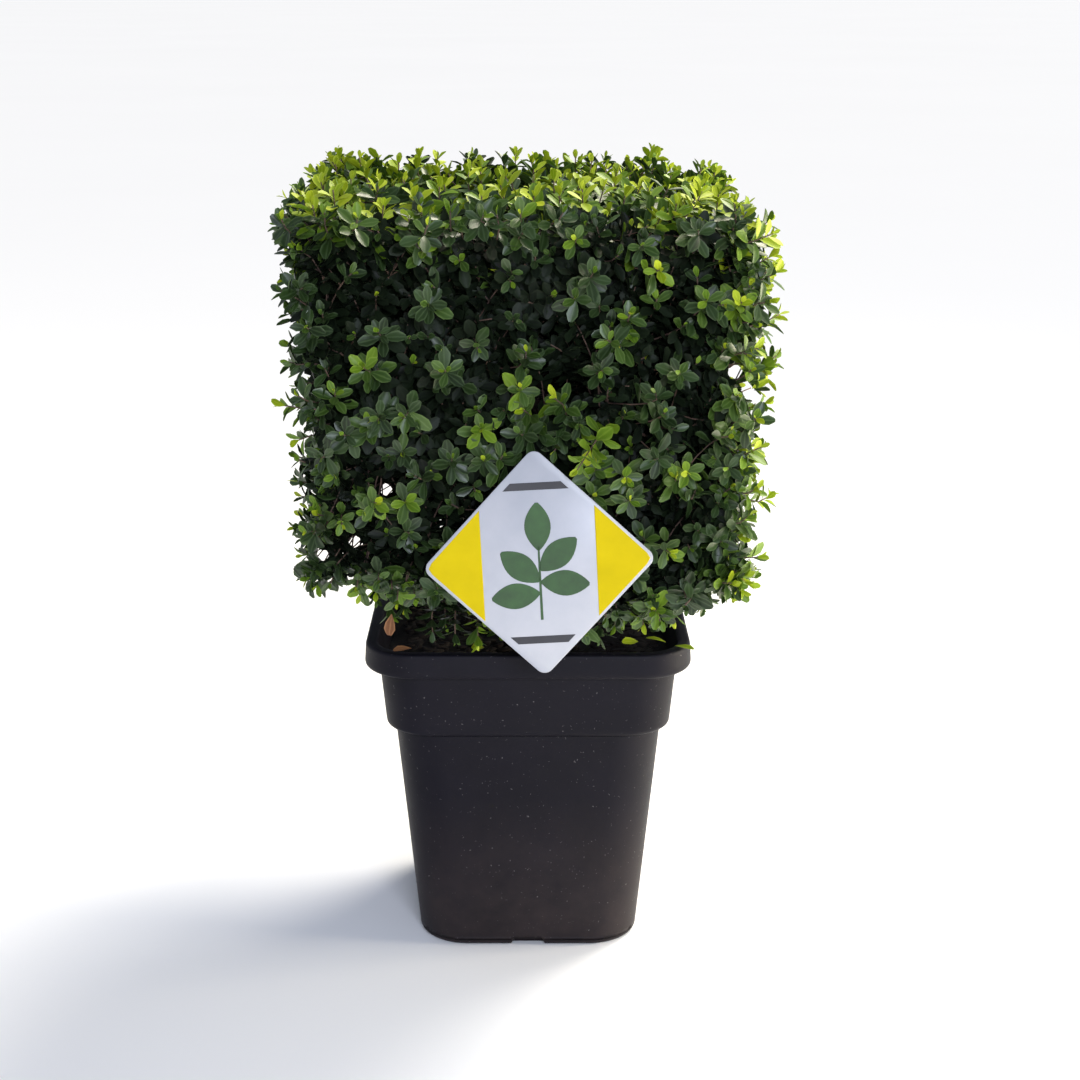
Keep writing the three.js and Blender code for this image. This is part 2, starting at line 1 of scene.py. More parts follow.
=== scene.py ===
import bpy
import numpy as np
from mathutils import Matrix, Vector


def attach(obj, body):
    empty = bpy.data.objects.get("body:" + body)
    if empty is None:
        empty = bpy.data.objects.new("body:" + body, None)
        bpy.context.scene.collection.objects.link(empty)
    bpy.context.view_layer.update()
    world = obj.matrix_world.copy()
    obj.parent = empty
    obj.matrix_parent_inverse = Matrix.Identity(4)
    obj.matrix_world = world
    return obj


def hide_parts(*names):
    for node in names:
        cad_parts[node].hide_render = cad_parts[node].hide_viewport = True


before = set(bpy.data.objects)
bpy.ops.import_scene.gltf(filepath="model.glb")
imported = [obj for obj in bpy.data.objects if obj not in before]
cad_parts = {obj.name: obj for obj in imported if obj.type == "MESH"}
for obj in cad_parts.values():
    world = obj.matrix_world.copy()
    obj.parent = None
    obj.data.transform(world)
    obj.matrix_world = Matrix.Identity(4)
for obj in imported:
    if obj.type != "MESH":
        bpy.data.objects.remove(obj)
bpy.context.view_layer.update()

# Sizes of the pot in millimetres, as in the part's source.
POT_HEIGHT = 290
RIM_HALF = 140
LIP_HEIGHT = 22
LIP_CORNER = 44
LIP_DRAFT = 1.5  # how far the lip's outside leans in
LIP_WALL = 10  # width of the lip's top before rounding
LIP_UNDER = 0.5  # rise of the lip's underside
LIP_INSIDE = 1  # how far the lip's inside goes on below its outside
COLLAR_TOP_HALF = 127.5
COLLAR_FOOT_HALF = 122.5
COLLAR_CORNER = 37
COLLAR_FOOT_Z = 209
COLLAR_UNDER = 1.5  # rise of the collar's underside
COLLAR_INSIDE = 12  # height of the step from body to collar on the inside
BODY_TOP_HALF = 116
BODY_FOOT_HALF = 97.5
BODY_CORNER = 43
WALL = 3
FLOOR_TOP = 5
NOTCH_WIDTH = 30
NOTCH_TOP_WIDTH = 22
NOTCH_MIDDLE = 6  # between the middle points of its upper edge
NOTCH_HEIGHT = 9
NOTCH_DEPTH = 8
NOTCH_CLEAR = 2  # a level this far above it keeps the wall flat
EDGE_STEP = 0.2  # two points this close keep an edge sharp
SIDE_REACH = 0.7  # share of a side's straight run where its outer points lie
POT_CORNER_STEPS = 14
LEVEL_LEAD = 1.4  # a level that keeps a flat flat, in roundings from the corner
LEVEL_MOST = 0.45  # and at most this share of the flat away from it

# Sizes of the soil and the bark flakes on it.
SOIL_TOP = 262
SOIL_GAP = 0.4  # clearance between soil and pot
SOIL_STEP = 15  # height of the soil's step under the collar
SOIL_EDGE = 3  # height of the soil's upper edge
SOIL_RINGS = 40
SOIL_MIDDLE = 0.02  # size of the innermost ring against the outermost
SOIL_SIDE_POINTS = 14
SOIL_CORNER_STEPS = 8
SOIL_RELIEF = 3.2  # height of the bumps
SOIL_WAVE = 70  # length of the largest bumps
SOIL_WAVES = 5  # waves of each length
SOIL_OCTAVES = 4  # lengths of wave, each half the last
SOIL_SEED = 3
SOIL_SINK = 1.5  # how far the bumps' mean lies below the soil's level
CHIP_SINK = 0.6  # and the middles of the flakes on them
CHIPS = 700
CHIP_SIZES = ((3, 2, 0.5), (9, 5, 1.3))  # half length, width, thickness: least, most
CHIP_TILT = 0.18
CHIP_TAPER = 0.9  # a flake's upper face against its lower one
CHIP_TO_WALL = 14
CHIP_TO_TRUNK = 22

# Sizes of the wood, as in the part's source, with its bark.
TRUNK_BASE_RADIUS = 12
TRUNK_TIP_RADIUS = 9
ROOT_FLARE = 9
FLARE_FADE = 6  # how fast the root flare fades along the trunk
FLUTES = 5  # ridges round the root flare
FLUTE_DEPTH = 0.35  # share of the flare by which they stand out
FORK_Z = 352
TRUNK_LEAN = 5
LEADER_TIP_RADIUS = 5
BOUGHS = 6
BOUGH_BASE_RADIUS = 5.5
BOUGH_TIP_RADIUS = 3.5
BOUGH_TURN = 0.5  # radians round the trunk where the first bough stands
BOUGH_FROM = 0.48  # share of the trunk's length where boughs begin
BOUGH_SPAN = 0.44  # share of its length over which they are spread
BOUGH_START = 3  # how far out of the trunk's middle a bough starts
BOUGH_HEIGHTS = (405, 535)  # heights between which the boughs' ends are spread
BOUGH_PAST = 12  # how far a bough goes on past the bare space
BOUGH_SWEEP = 0.3  # share of its climb that a bough has made at its bend
LIMB_SIDES = 28
LIMB_STEPS = 90
BARK_BASE = 0.97  # radius between cracks and knobs, as a share of the limb's
BARK_CRACKS = 7  # round a limb
CRACK_DEPTH = 0.07  # share of the limb's radius
KNOB_HEIGHT = 0.05  # and for knobs
CRACK_SWAY = 1.2  # how far a crack strays, in radians of its sine
CRACK_WAVE = 9  # millimetres along the limb to a radian of that
KNOB_WAVES = (4.3, 13)  # and to a radian of the two sines that make knobs
BARK_DRIFT = 6.3  # radians within which the pattern starts

# The clipped block, as in the part's source.
CROWN_HALF = 198
CROWN_FOOT_HALF = 187
CROWN_TOP = 676
CROWN_FOOT = 308
CROWN_FOOT_AT = 30
CROWN_FOOT_RISE = 44
CROWN_FOOT_WIDTH = 105
CROWN_EDGE = 30
CROWN_CHAMFER = 30
CHAMFER_SLOPE = 0.5
DENT_AT = np.array([-190, -180, 450])
DENT_DEPTH = 30
DENT_WIDTH = 30
HOLLOW_HALF = 86
HOLLOW_TOP = 568
CORE_INSET = 37
EYE = np.array([0, -1658, 834])  # where the photograph is taken from
# Openings that one sees through from there, each by its place on the front and its radius.
OPENINGS = np.array([
    (-112, -185, 446, 5.0),
    (160, -185, 540, 4.5),
    (170, -185, 525, 3.0),
    (183, -185, 491, 3.0),
    (-163, -185, 392, 3.5),
    (-138, -185, 403, 4.0),
    (-125, -185, 396, 2.0),
    (-146, -185, 392, 2.0),
    (-171, -185, 539, 2.0),
])
OPENING_SPARE = 0.6

# How the twigs grow: the source's rule, carried to finer twigs.
FACES = 6  # faces of the block: four sides, then top and foot
TOP_FACE = 4
COARSE_ALONG = 7  # twig tips along one side of a clipped face, as in the source
COARSE_INSET = (17, 17)
FINE_ALONG = 21  # finer twigs
FRONT_INSET = (-4, 9)  # how deep in the clipped face the outermost tips lie
DEEP_INSET = (13, 46)  # and the others
FRONT_SHARE = 0.26  # share of the tips that are outermost
INNER_ALONG = 13  # short twigs that fill the shade behind them
INNER_INSET = (50, 88)
TIP_SHAKE = 0.42  # how far a tip leaves its place on the grid, in grid steps
TIP_TO_HOLLOW = 12  # how far tips keep from the bare space
TWIG_LIFT = 0.4  # how far a twig's heading is lifted from the way out
FOOT_DROOP = 0.6  # how far twigs at the foot head down on their way to the side
FOOT_FACING = -0.5  # a way out that looks down further than this belongs to the foot
HEADING_SHAKE = 0.28
SAP_COST = 0.35  # how strongly a twig prefers to start near the stem
SHORT_COST = 3  # and to be no shorter than the next value
TWIG_LEAST = 48
BARE_COST = CROWN_TOP  # a way through the bare space costs more than any other
WAYS_TRIED = 12  # ways that are looked at for each tip
TWIG_BEND = 0.5  # share of its length along which a twig heads for its tip
JOIN_AT = 0.6  # share of a twig's length where others may join it
TWIG_RADIUS = 0.62  # of a twig that carries no other
TWIG_GROWTH = 0.4  # power of the number of twigs by which it gets thicker
TWIG_TIP_RADIUS = 0.55
TWIG_POINTS = 5
TWIG_SIDES = 5

# Twigs that droop from the clipped foot towards the pot's lip.
DROOPING = 26
DROOP_X = (-122, 172)
DROOP_SHAKE = 7
DROOP_Y = (-150, -88)
DROOP_TIP = (303, 320)  # height of the tips
DROOP_MIDDLE = 80  # tips further from the middle than this are higher
DROOP_RISE = 0.32  # by this share of the way
DROOP_START = ((18, 40), (52, 66))  # how far behind and above its tip a twig starts
DROOP_BEND = ((-3, 6), (26, 38))  # and where its bend lies
START_INWARD = 0.1  # share of the way to the middle by which it starts further in
BEND_OUTWARD = 0.03  # and by which it bends out
# A twig that hangs in front of the label, by its start, bend and tip.
LABEL_TWIG = np.array([[(68, -158, 498), (54, -188, 489), (38, -208, 467)]], float)

# Leaves on a twig, counted from its tip backwards.
LEAVES_PER_TWIG = 20
CORE_FEWER = 6  # a twig in the core has so many less
LEAF_LENGTH = 19
LEAF_WIDTH = 9.6
LEAF_PEAK = 1.6  # power that moves the widest place towards the tip
LEAF_ROUND = 0.6  # power that makes the outline rounder
STALK_HALF = 0.07  # least half width of a leaf, as a share of half its width
STALK_GROWTH = 0.23  # and what is added to it towards the tip
LEAF_FIRST = 0.8  # from the twig's tip to its first leaf
LEAF_SPACING = 2.2
SPACING_GROWTH = 0.02
LEAF_BARE = 0.04  # share of a twig at its start that has no leaves
SLANT = np.array([0.2, 0.3, 1.0])  # leaves are turned round their twig from the way across this
LEAF_TURN = 2.4  # radians from one leaf to the next, and from bough to bough
TURN_SHAKE = 0.2
LEAF_AGING = 3.2  # leaves behind the tip after which a leaf is nearly grown
LEAF_ANGLES = (16, 82)  # degrees between twig and leaf, youngest and grown
ANGLE_SHAKE = 9
LEAF_SIZES = (0.42, 1.0)  # youngest and grown
SIZE_SHAKE = 0.1
LEAF_CUP = (0.15, 0.6)
LEAF_CURL = (-0.08, 0.16)
SKIN_SPARE = 11  # how far a leaf's tip may pass the clipped face
LIP_SPARE = 4  # how far leaves keep above the pot's lip
SKIN_DEPTH = 20  # depth down to which twigs belong to the outer leaves
CORE_DEPTH = 48  # and from which on to the core
OUTER_SHARES = (0, 0.17, 0.42, 0.7, 0.92, 1)  # shares of a leaf's length where its points lie
# Leaves by depth: name, depths of their twigs and shares of the length.
LEAF_GROUPS = [
    ("outer", -np.inf, SKIN_DEPTH, OUTER_SHARES),
    ("inner", SKIN_DEPTH, CORE_DEPTH, (0, 0.3, 0.72, 1)),
    ("core", CORE_DEPTH, np.inf, (0, 0.55, 1)),
]
PIECE_LIMIT = 190000  # triangles in one piece

# How light a leaf's colour is, by its age, by painted sunlight on the top and right and by painted shade
# deep inside: dark below 0, young yellow-green from about 0.4 up.
SUN_UPWARD = (0.78, 0.18)  # how far the way out looks up where painted sunlight begins, and until it is full
SUN_DEPTH = 40  # depth that it reaches
SUN_RIGHT = (150, 30)  # where the right side's painted sunlight begins, and until it is full
RIGHT_SHARE = 0.72  # that sun against the top's
SUN_LIGHT = 0.65  # what full painted sunlight adds to a leaf's lightness
SUN_FADE = 11  # leaves over which it fades along a twig
YOUTH = (-0.1, 0.2)  # mean and spread of a twig's own lightness
YOUTH_MOST = 0.16
DARKER_TWIG_DEPTH = 10  # twigs deeper than this are darker
DEEP_TWIG_DARKENING = 0.2  # and darker by this
LABEL_TWIG_YOUTH = 0.3
TIP_LIGHT = 0.5  # what the leaf at the tip is lighter by
TIP_FADE = 1.6  # leaves over which that fades
LIGHT_SHAKE = 0.08
LIGHT_LEAST = -0.9
SHADE_DEPTH = 25  # depth from which on leaves get the painted shade colour
SHADE_SUN = 20  # and how much deeper that is under painted sunlight
SHADE_LIGHT = -2  # lightness of that painted shade

# Leaves that have come off, each by its root, the way it points and the way its face looks.
SHED_LEAVES = np.array([
    [(124, -117, 291.2), (0.8, -0.55, 0.1), (0, 0, 1)],
    [(117, -108, 291), (-0.9, 0.3, 0.25), (0.2, 0, 1)],
    [(94, -100, 289), (-0.75, -0.6, 0.3), (0.3, -0.4, 1)],
    [(-37, -112, 288), (-0.5, -0.75, 0.4), (0, -0.5, 1)],
    [(-62, -70, 266), (0.9, 0.2, 0.1), (0.1, 0, 1)],
    [(48, -88, 267), (0.3, -0.9, 0.15), (0, 0.2, 1)],
], float)
WITHERED_LEAVES = np.array([
    [(-112, -152, 331), (-0.15, -0.2, -1), (-0.3, -1, 0.1)],
    [(-98, -122, 290.5), (-0.7, -0.4, 0.2), (0, -0.2, 1)],
    [(18, -92, 267), (-0.9, 0.3, 0.1), (0, 0, 1)],
], float)
SHED_SIZES = (1, 0.8)  # first and last leaf against a grown one
SHED_LENGTH = LEAF_LENGTH * 0.95
SHED_WIDTH = 0.56  # share of the length
SHED_CUP = 0.25
SHED_CURL = (0.1, 0.35)

# Sizes of the label.
LABEL_SIDE = 132
LABEL_CORNER = 8
LABEL_THICKNESS = 1.2
LABEL_TURN = 3
LABEL_LEAN = 4
LABEL_CENTRE = np.array([9, -196, 388])
CARD_TIP = LABEL_SIDE * 0.5 ** 0.5  # from the card's middle to a corner, before it is rounded
CARD_EDGE = 0.4  # rounding of the card's edge
CARD_CORNER_POINTS = 8
STAKE_WIDTH = 12
STAKE_THICKNESS = 2
STAKE_FOOT = np.array([9, -108, SOIL_TOP - 2])
STAKE_BEHIND = 2.5  # how far behind the card's middle the stake ends
CARD_COVER = 2  # how far leaves may stand in front of the card's edge
EDGE_ROOM = 3  # how far leaves beside the card keep off its edge
CARD_ROOM = 4  # how far leaves keep off its back
STAKE_ROOM = 8
INK_SINK = 0.2  # how deep a print starts in the card
INK_RISE = 0.15  # how far it stands out, more than a real one, so that it shows
INK_FLAT = 0.97  # size of the outline that keeps a print's face flat
CORNER_PRINT = np.array([(-48, -45), (-8, -4.5), (-5.5, 0), (-8, 4.5), (-48, 45)])  # from the side corner
BAND_PRINT = np.array([(-26, -34), (26, -34), (20, -28), (-20, -28)])  # from the top corner
SPRIG = [(90, 10), (40, -6), (140, -15), (-5, -15), (185, -24)]  # printed leaves: degrees and root's height
SPRIG_LEAF = (40, 21)  # length and width
SPRIG_LEAF_POINTS = 12
SPRIG_ROUND = 0.8
SPRIG_STEM = np.array([(-1.1, -46), (1.1, -46), (0.8, 14), (-0.8, 14)])

# The camera at the photograph's angle, and the floor.
CAMERA_TILT = 0.284  # radians below the level
CAMERA_LENS = 64.36
CAMERA_SENSOR = 36
CAMERA_SHIFT = 0.0111
CAMERA_REACH = 500  # metres
FLOOR_HALF = 200  # metres

MM = 0.001
AHEAD = 0.02  # share of a curve over which its direction is taken
UP = np.array([0.0, 0.0, 1.0])
RIGHT = np.array([1.0, 0.0, 0.0])
random = np.random.default_rng(12)


# Meshes from whole arrays.
def unit(vector):
    """Each vector divided by its length."""
    return vector / np.maximum(np.linalg.norm(vector, axis=-1, keepdims=True), 1e-9)


def between(low, high, share):
    """The straight mix of low and high at a share from 0 to 1."""
    return low + (high - low) * share


def ramp(value, start, width):
    """0 up to the start, then rising to 1 over the width."""
    return np.clip((value - start) / width, 0, 1)


def bezier(start, bend, end, share):
    """Points of quadratic curves: the mix of the mixes start-bend and bend-end at each share."""
    share = np.asarray(share)[..., None]
    return between(between(start, bend, share), between(bend, end, share), share)


def curve_points(curves, share):
    """Points of many quadratic curves, each a row of start, bend and end, at the shares of its own row."""
    return bezier(curves[:, None, 0], curves[:, None, 1], curves[:, None, 2], share)


def grid_faces(rows, columns, count=1, closed=True):
    """Four-sided faces between neighbours on grids of rows x columns points that lie one after the other;
    a closed grid joins its last column to its first."""
    row = np.arange(rows - 1)[:, None] * columns
    column = np.arange(columns if closed else columns - 1)
    after = (column + 1) % columns
    quads = np.stack([row + column, row + after, row + columns + after, row + columns + column], -1)
    return (np.arange(count)[:, None, None] * rows * columns + quads.reshape(-1, 4)).reshape(-1, 4)


def loft(rings, count=1):
    """Rings of points joined from first to last, with both ends closed by one flat face."""
    rows, columns = rings.shape[-3:-1]
    first = np.arange(count)[:, None] * rows * columns + np.arange(columns)
    last = first + (rows - 1) * columns
    quads = grid_faces(rows, columns, count)
    return rings.reshape(-1, 3), [*quads.tolist(), *first[:, ::-1].tolist(), *last.tolist()]


def tubes(path, radius, sides):
    """Round sections carried along many paths at once: path has the shape (tubes, steps, 3) and radius
    (tubes, steps, 1 or sides); each ring lies square to its path."""
    along = unit(np.gradient(path, axis=1))
    off_line = np.array([0.02, 0.03, 0.01])  # gives a straight path a plane too
    plane = np.cross(path[:, 1] - path[:, 0], path[:, -1] - path[:, 0]) + off_line
    across = unit(np.cross(plane[:, None], along))
    beside = np.cross(along, across)
    angle = np.arange(sides)[:, None] * 2 * np.pi / sides
    ring = np.cos(angle) * across[:, :, None] + np.sin(angle) * beside[:, :, None]
    return loft(path[:, :, None] + radius[..., None] * ring, len(path))


def put(name, shape, material, nodes=()):
    """Puts points in millimetres and their faces into one piece at the origin that rides on the part."""
    points, faces = shape
    mesh = bpy.data.meshes.new(name)
    mesh.from_pydata((points * MM).tolist(), [], faces)
    mesh.materials.append(material)
    mesh.shade_smooth()
    piece = bpy.data.objects.new(name, mesh)
    bpy.context.scene.collection.objects.link(piece)
    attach(piece, "root")
    if nodes:
        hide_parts(*nodes)
    return piece


# Materials.
def linear(code):
    """An sRGB hex colour as linear red, green, blue and alpha."""
    value = np.array([int(code[k:k + 2], 16) for k in (1, 3, 5)]) / 255
    curve = np.where(value <= 0.04045, value / 12.92, ((value + 0.055) / 1.055) ** 2.4)
    return (*curve.tolist(), 1.0)


def per_mm(size):
    """The scale of a pattern on Object coordinates whose cells are that many millimetres wide."""
    return 1 / (size * MM)


def add(tree, kind, sockets=None, **settings):
    """Adds one shader node: settings are its own values, sockets maps an input to a value or to an output
    that is linked to it."""
    node = tree.nodes.new("ShaderNode" + kind)
    for key, value in settings.items():
        setattr(node, key, value)
    for key, value in (sockets or {}).items():
        if isinstance(value, bpy.types.NodeSocket):
            tree.links.new(value, node.inputs[key])
        else:
            node.inputs[key].default_value = value
    return node


def new_material(name):
    """An empty material with nodes, and its tree."""
    material = bpy.data.materials.new(name)
    material.use_nodes = True
    material.node_tree.nodes.clear()
    return material, material.node_tree


def moulded_pot_plastic():
    """Recycled polypropylene, injection moulded: matt black with a violet cast, pale dust specks all over
    and brown soil dust in patches towards the foot, which also change its gloss."""
    material, tree = new_material("recycled_polypropylene")
    place = add(tree, "TexCoord").outputs["Object"]
    cloud = add(tree, "TexNoise", {"Vector": place, "Scale": per_mm(60), "Detail": 5.0})
    base = add(tree, "Mix", {0: cloud.outputs["Fac"], 6: linear("#0a0910"), 7: linear("#13111b")},
               data_type="RGBA")
    height = add(tree, "SeparateXYZ", {0: place}).outputs["Z"]
    low = add(tree, "MapRange", {"Value": height, "From Min": 150 * MM, "From Max": 30 * MM,
                                 "To Min": 0.0, "To Max": 0.3})
    patch = add(tree, "TexNoise", {"Vector": place, "Scale": per_mm(28), "Detail": 6.0, "Roughness": 0.65})
    dusty = add(tree, "Math", {0: low.outputs[0], 1: patch.outputs["Fac"]}, operation="MULTIPLY")
    brown = add(tree, "Mix", {0: dusty.outputs[0], 6: base.outputs[2], 7: linear("#5d5049")},
                data_type="RGBA")
    # Specks of about 2 mm; the real ones are finer than the render shows.
    grit = add(tree, "TexNoise", {"Vector": place, "Scale": per_mm(2.4), "Detail": 2.0})
    specks = add(tree, "MapRange", {"Value": grit.outputs["Fac"], "From Min": 0.7, "From Max": 0.8,
                                    "To Min": 0.0, "To Max": 0.55})
    dusted = add(tree, "Mix", {0: specks.outputs[0], 6: brown.outputs[2], 7: linear("#8a8584")},
                 data_type="RGBA")
    rough = add(tree, "MapRange", {"Value": patch.outputs["Fac"], "To Min": 0.42, "To Max": 0.66})
    grain = add(tree, "TexNoise", {"Vector": place, "Scale": per_mm(1.1), "Detail": 2.0})
    bump = add(tree, "Bump", {"Height": grain.outputs["Fac"], "Strength": 0.25, "Distance": 0.3 * MM})
    shader = add(tree, "BsdfPrincipled", {"Base Color": dusted.outputs[2], "Roughness": rough.outputs[0],
                                          "Normal": bump.outputs[0], "IOR": 1.49,
                                          "Specular IOR Level": 0.15})
    add(tree, "OutputMaterial", {"Surface": shader.outputs[0]})
    return material


def mottled(name, dark, light, size, roughness, relief, gloss=0.5):
    """A surface of two tones, mixed by a noise of the given size in millimetres, which also gives its
    relief, in millimetres too."""
    material, tree = new_material(name)
    place = add(tree, "TexCoord").outputs["Object"]
    noise = add(tree, "TexNoise", {"Vector": place, "Scale": per_mm(size), "Detail": 5.0, "Roughness": 0.6})
    share = add(tree, "MapRange", {"Value": noise.outputs["Fac"], "From Min": 0.3, "From Max": 0.7})
    tone = add(tree, "Mix", {0: share.outputs[0], 6: linear(dark), 7: linear(light)}, data_type="RGBA")
    bump = add(tree, "Bump", {"Height": noise.outputs["Fac"], "Strength": 0.6, "Distance": relief * MM})
    shader = add(tree, "BsdfPrincipled", {"Base Color": tone.outputs[2], "Roughness": roughness,
                                          "Normal": bump.outputs[0], "Specular IOR Level": gloss})
    add(tree, "OutputMaterial", {"Surface": shader.outputs[0]})
    return material


def leaf_blade(name, shade, light, edge, roughness, gloss):
    """A waxy evergreen leaf: leathery and glossy, each leaf a little lighter or darker than the next, paler
    along its midrib and paler towards its margin, where the pale edge colour is a painted sheen."""
    material, tree = new_material(name)
    tone = add(tree, "Attribute", attribute_name="tone").outputs["Fac"]
    colour = add(tree, "Mix", {0: tone, 6: linear(shade), 7: linear(light)}, data_type="RGBA")
    across = add(tree, "Attribute", attribute_name="midrib").outputs["Fac"]
    beside = add(tree, "Math", {0: across, 1: 0.57}, operation="SUBTRACT")
    far = add(tree, "Math", {0: beside.outputs[0]}, operation="ABSOLUTE")
    pale = add(tree, "MapRange", {"Value": far.outputs[0], "From Min": 0.2, "From Max": 0.57,
                                  "To Min": 0.0, "To Max": 0.5})
    # The pale margin is a painted sheen; the paler midrib is the leaf's own.
    rib_and_sheen = add(tree, "Mix", {0: pale.outputs[0], 6: colour.outputs[2], 7: linear(edge)}, data_type="RGBA")
    shader = add(tree, "BsdfPrincipled", {"Base Color": rib_and_sheen.outputs[2], "Roughness": roughness,
                                          "IOR": 1.45, "Specular IOR Level": gloss})
    add(tree, "OutputMaterial", {"Surface": shader.outputs[0]})
    return material


pot_plastic = moulded_pot_plastic()
# Bark-based potting compost: dark, crumbly, fully matt; its near-black tones are also painted shade from
# the crown above.
compost = mottled("potting_compost", "#0b0806", "#1d1610", size=5, roughness=1.0, relief=1.5)
# Composted pine bark: flakes that are red-brown where broken; here two near-black browns, darkened as
# painted shade from the crown above.
pine_chips = mottled("pine_bark_chips", "#0e0906", "#21170f", size=9, roughness=0.95, relief=0.6)
# Grey holly bark: smooth with fine cracks and pale spots.
holly_bark = mottled("holly_bark", "#3b322b", "#7a6f64", size=6, roughness=0.9, relief=0.5)
# Young twigs: brown-purple rind.
twig_rind = mottled("young_twig_rind", "#3a2a24", "#6b5546", size=12, roughness=0.75, relief=0.1)
# Polypropylene card, printed: slightly glossy white, given a blue-grey base colour as painted sky shade.
white_card = mottled("white_polypropylene_card", "#a6a9b1", "#b0b2b9", size=30, roughness=0.35, relief=0.02)
# Printing inks on the card: smooth and even.
yellow_ink = mottled("yellow_print", "#c2ac01", "#ccb504", size=25, roughness=0.35, relief=0.02, gloss=0.1)
charcoal_ink = mottled("charcoal_print", "#26262b", "#313137", size=20, roughness=0.35, relief=0.02)
green_ink = mottled("green_print", "#23401f", "#2f5527", size=15, roughness=0.35, relief=0.02)
# Leaf colours: shade, light and pale margin; the margin colour is a painted sheen.
# Dead holly leaves: dry and orange-brown.
withered_leaf = leaf_blade("withered_leaf", "#714c33", "#a27149", "#b98a60", 0.7, 0.2)
# Living holly leaves: waxy, duller in the deep shade and while they are young. The shaded colours are
# painted shade for leaves deep inside, and the fresh and young colours also serve as painted sunlight on
# the top and right.
shaded_leaf = leaf_blade("shaded_leaf", "#0c120b", "#192413", "#222e1b", 0.55, 0.25)
dark_leaf = leaf_blade("dark_leaf", "#1a290f", "#2f441e", "#5b6f4a", 0.36, 0.42)
mid_leaf = leaf_blade("mid_leaf", "#283f12", "#425b20", "#70874c", 0.36, 0.42)
fresh_and_sunlit_leaf = leaf_blade("fresh_and_sunlit_leaf", "#496716", "#64811c", "#8ba23e", 0.42, 0.32)
young_and_sunlit_leaf = leaf_blade("young_and_sunlit_leaf", "#7a9212", "#9eac20", "#bac448", 0.48, 0.25)
# Leaves by lightness, which holds age, painted sunlight and painted shade: name, from which lightness up to
# which, and material.
LEAF_KINDS = [
    ("shaded_leaves", -9, -1, shaded_leaf),
    ("dark_leaves", -1, 0.0, dark_leaf),
    ("mid_leaves", 0.0, 0.2, mid_leaf),
    ("fresh_leaves", 0.2, 0.42, fresh_and_sunlit_leaf),
    ("young_leaves", 0.42, 9, young_and_sunlit_leaf),
]


# The pot.
def rounded_profile(profile, steps=7):
    """Levels of half width, corner radius and height along a profile whose rows also give the rounding of
    their corner: each inner corner becomes a quadratic curve that starts and ends its rounding away from
    it, with one more level on each side to keep the flats flat."""
    points, rounding = profile[:, :3], profile[1:-1, 3:]
    before, corner, after = points[:-2], points[1:-1], points[2:]
    share_before = rounding / np.linalg.norm((before - corner)[:, [0, 2]], axis=1, keepdims=True)
    share_after = rounding / np.linalg.norm((after - corner)[:, [0, 2]], axis=1, keepdims=True)
    start = between(corner, before, share_before)
    end = between(corner, after, share_after)
    curve = bezier(start[:, None], corner[:, None], end[:, None], np.linspace(0, 1, steps)[None])
    lead = between(corner, before, np.minimum(share_before * LEVEL_LEAD, LEVEL_MOST))[:, None]
    trail = between(corner, after, np.minimum(share_after * LEVEL_LEAD, LEVEL_MOST))[:, None]
    rows = np.concatenate([lead, curve, trail], axis=1).reshape(-1, 3)
    return np.concatenate([points[:1], rows, points[-1:]])


def square_rings(levels, flat, corner_steps):
    """Rounded squares, one a level of half width, corner radius and height: on each side points at the
    shares flat of its straight run, then a quarter circle."""
    half, corner, height = levels[:, :1], levels[:, 1:2], levels[:, 2:]
    middle = half - corner
    bend = np.linspace(0, np.pi / 2, corner_steps + 1)
    x = np.concatenate([half + 0 * flat, middle + corner * np.cos(bend)], axis=1)
    y = np.concatenate([middle * flat, middle + corner * np.sin(bend)], axis=1)
    x, y = np.concatenate([x, -y, -x, y], axis=1), np.concatenate([y, x, -y, -x], axis=1)
    return np.stack([x, y, height + 0 * x], axis=-1)


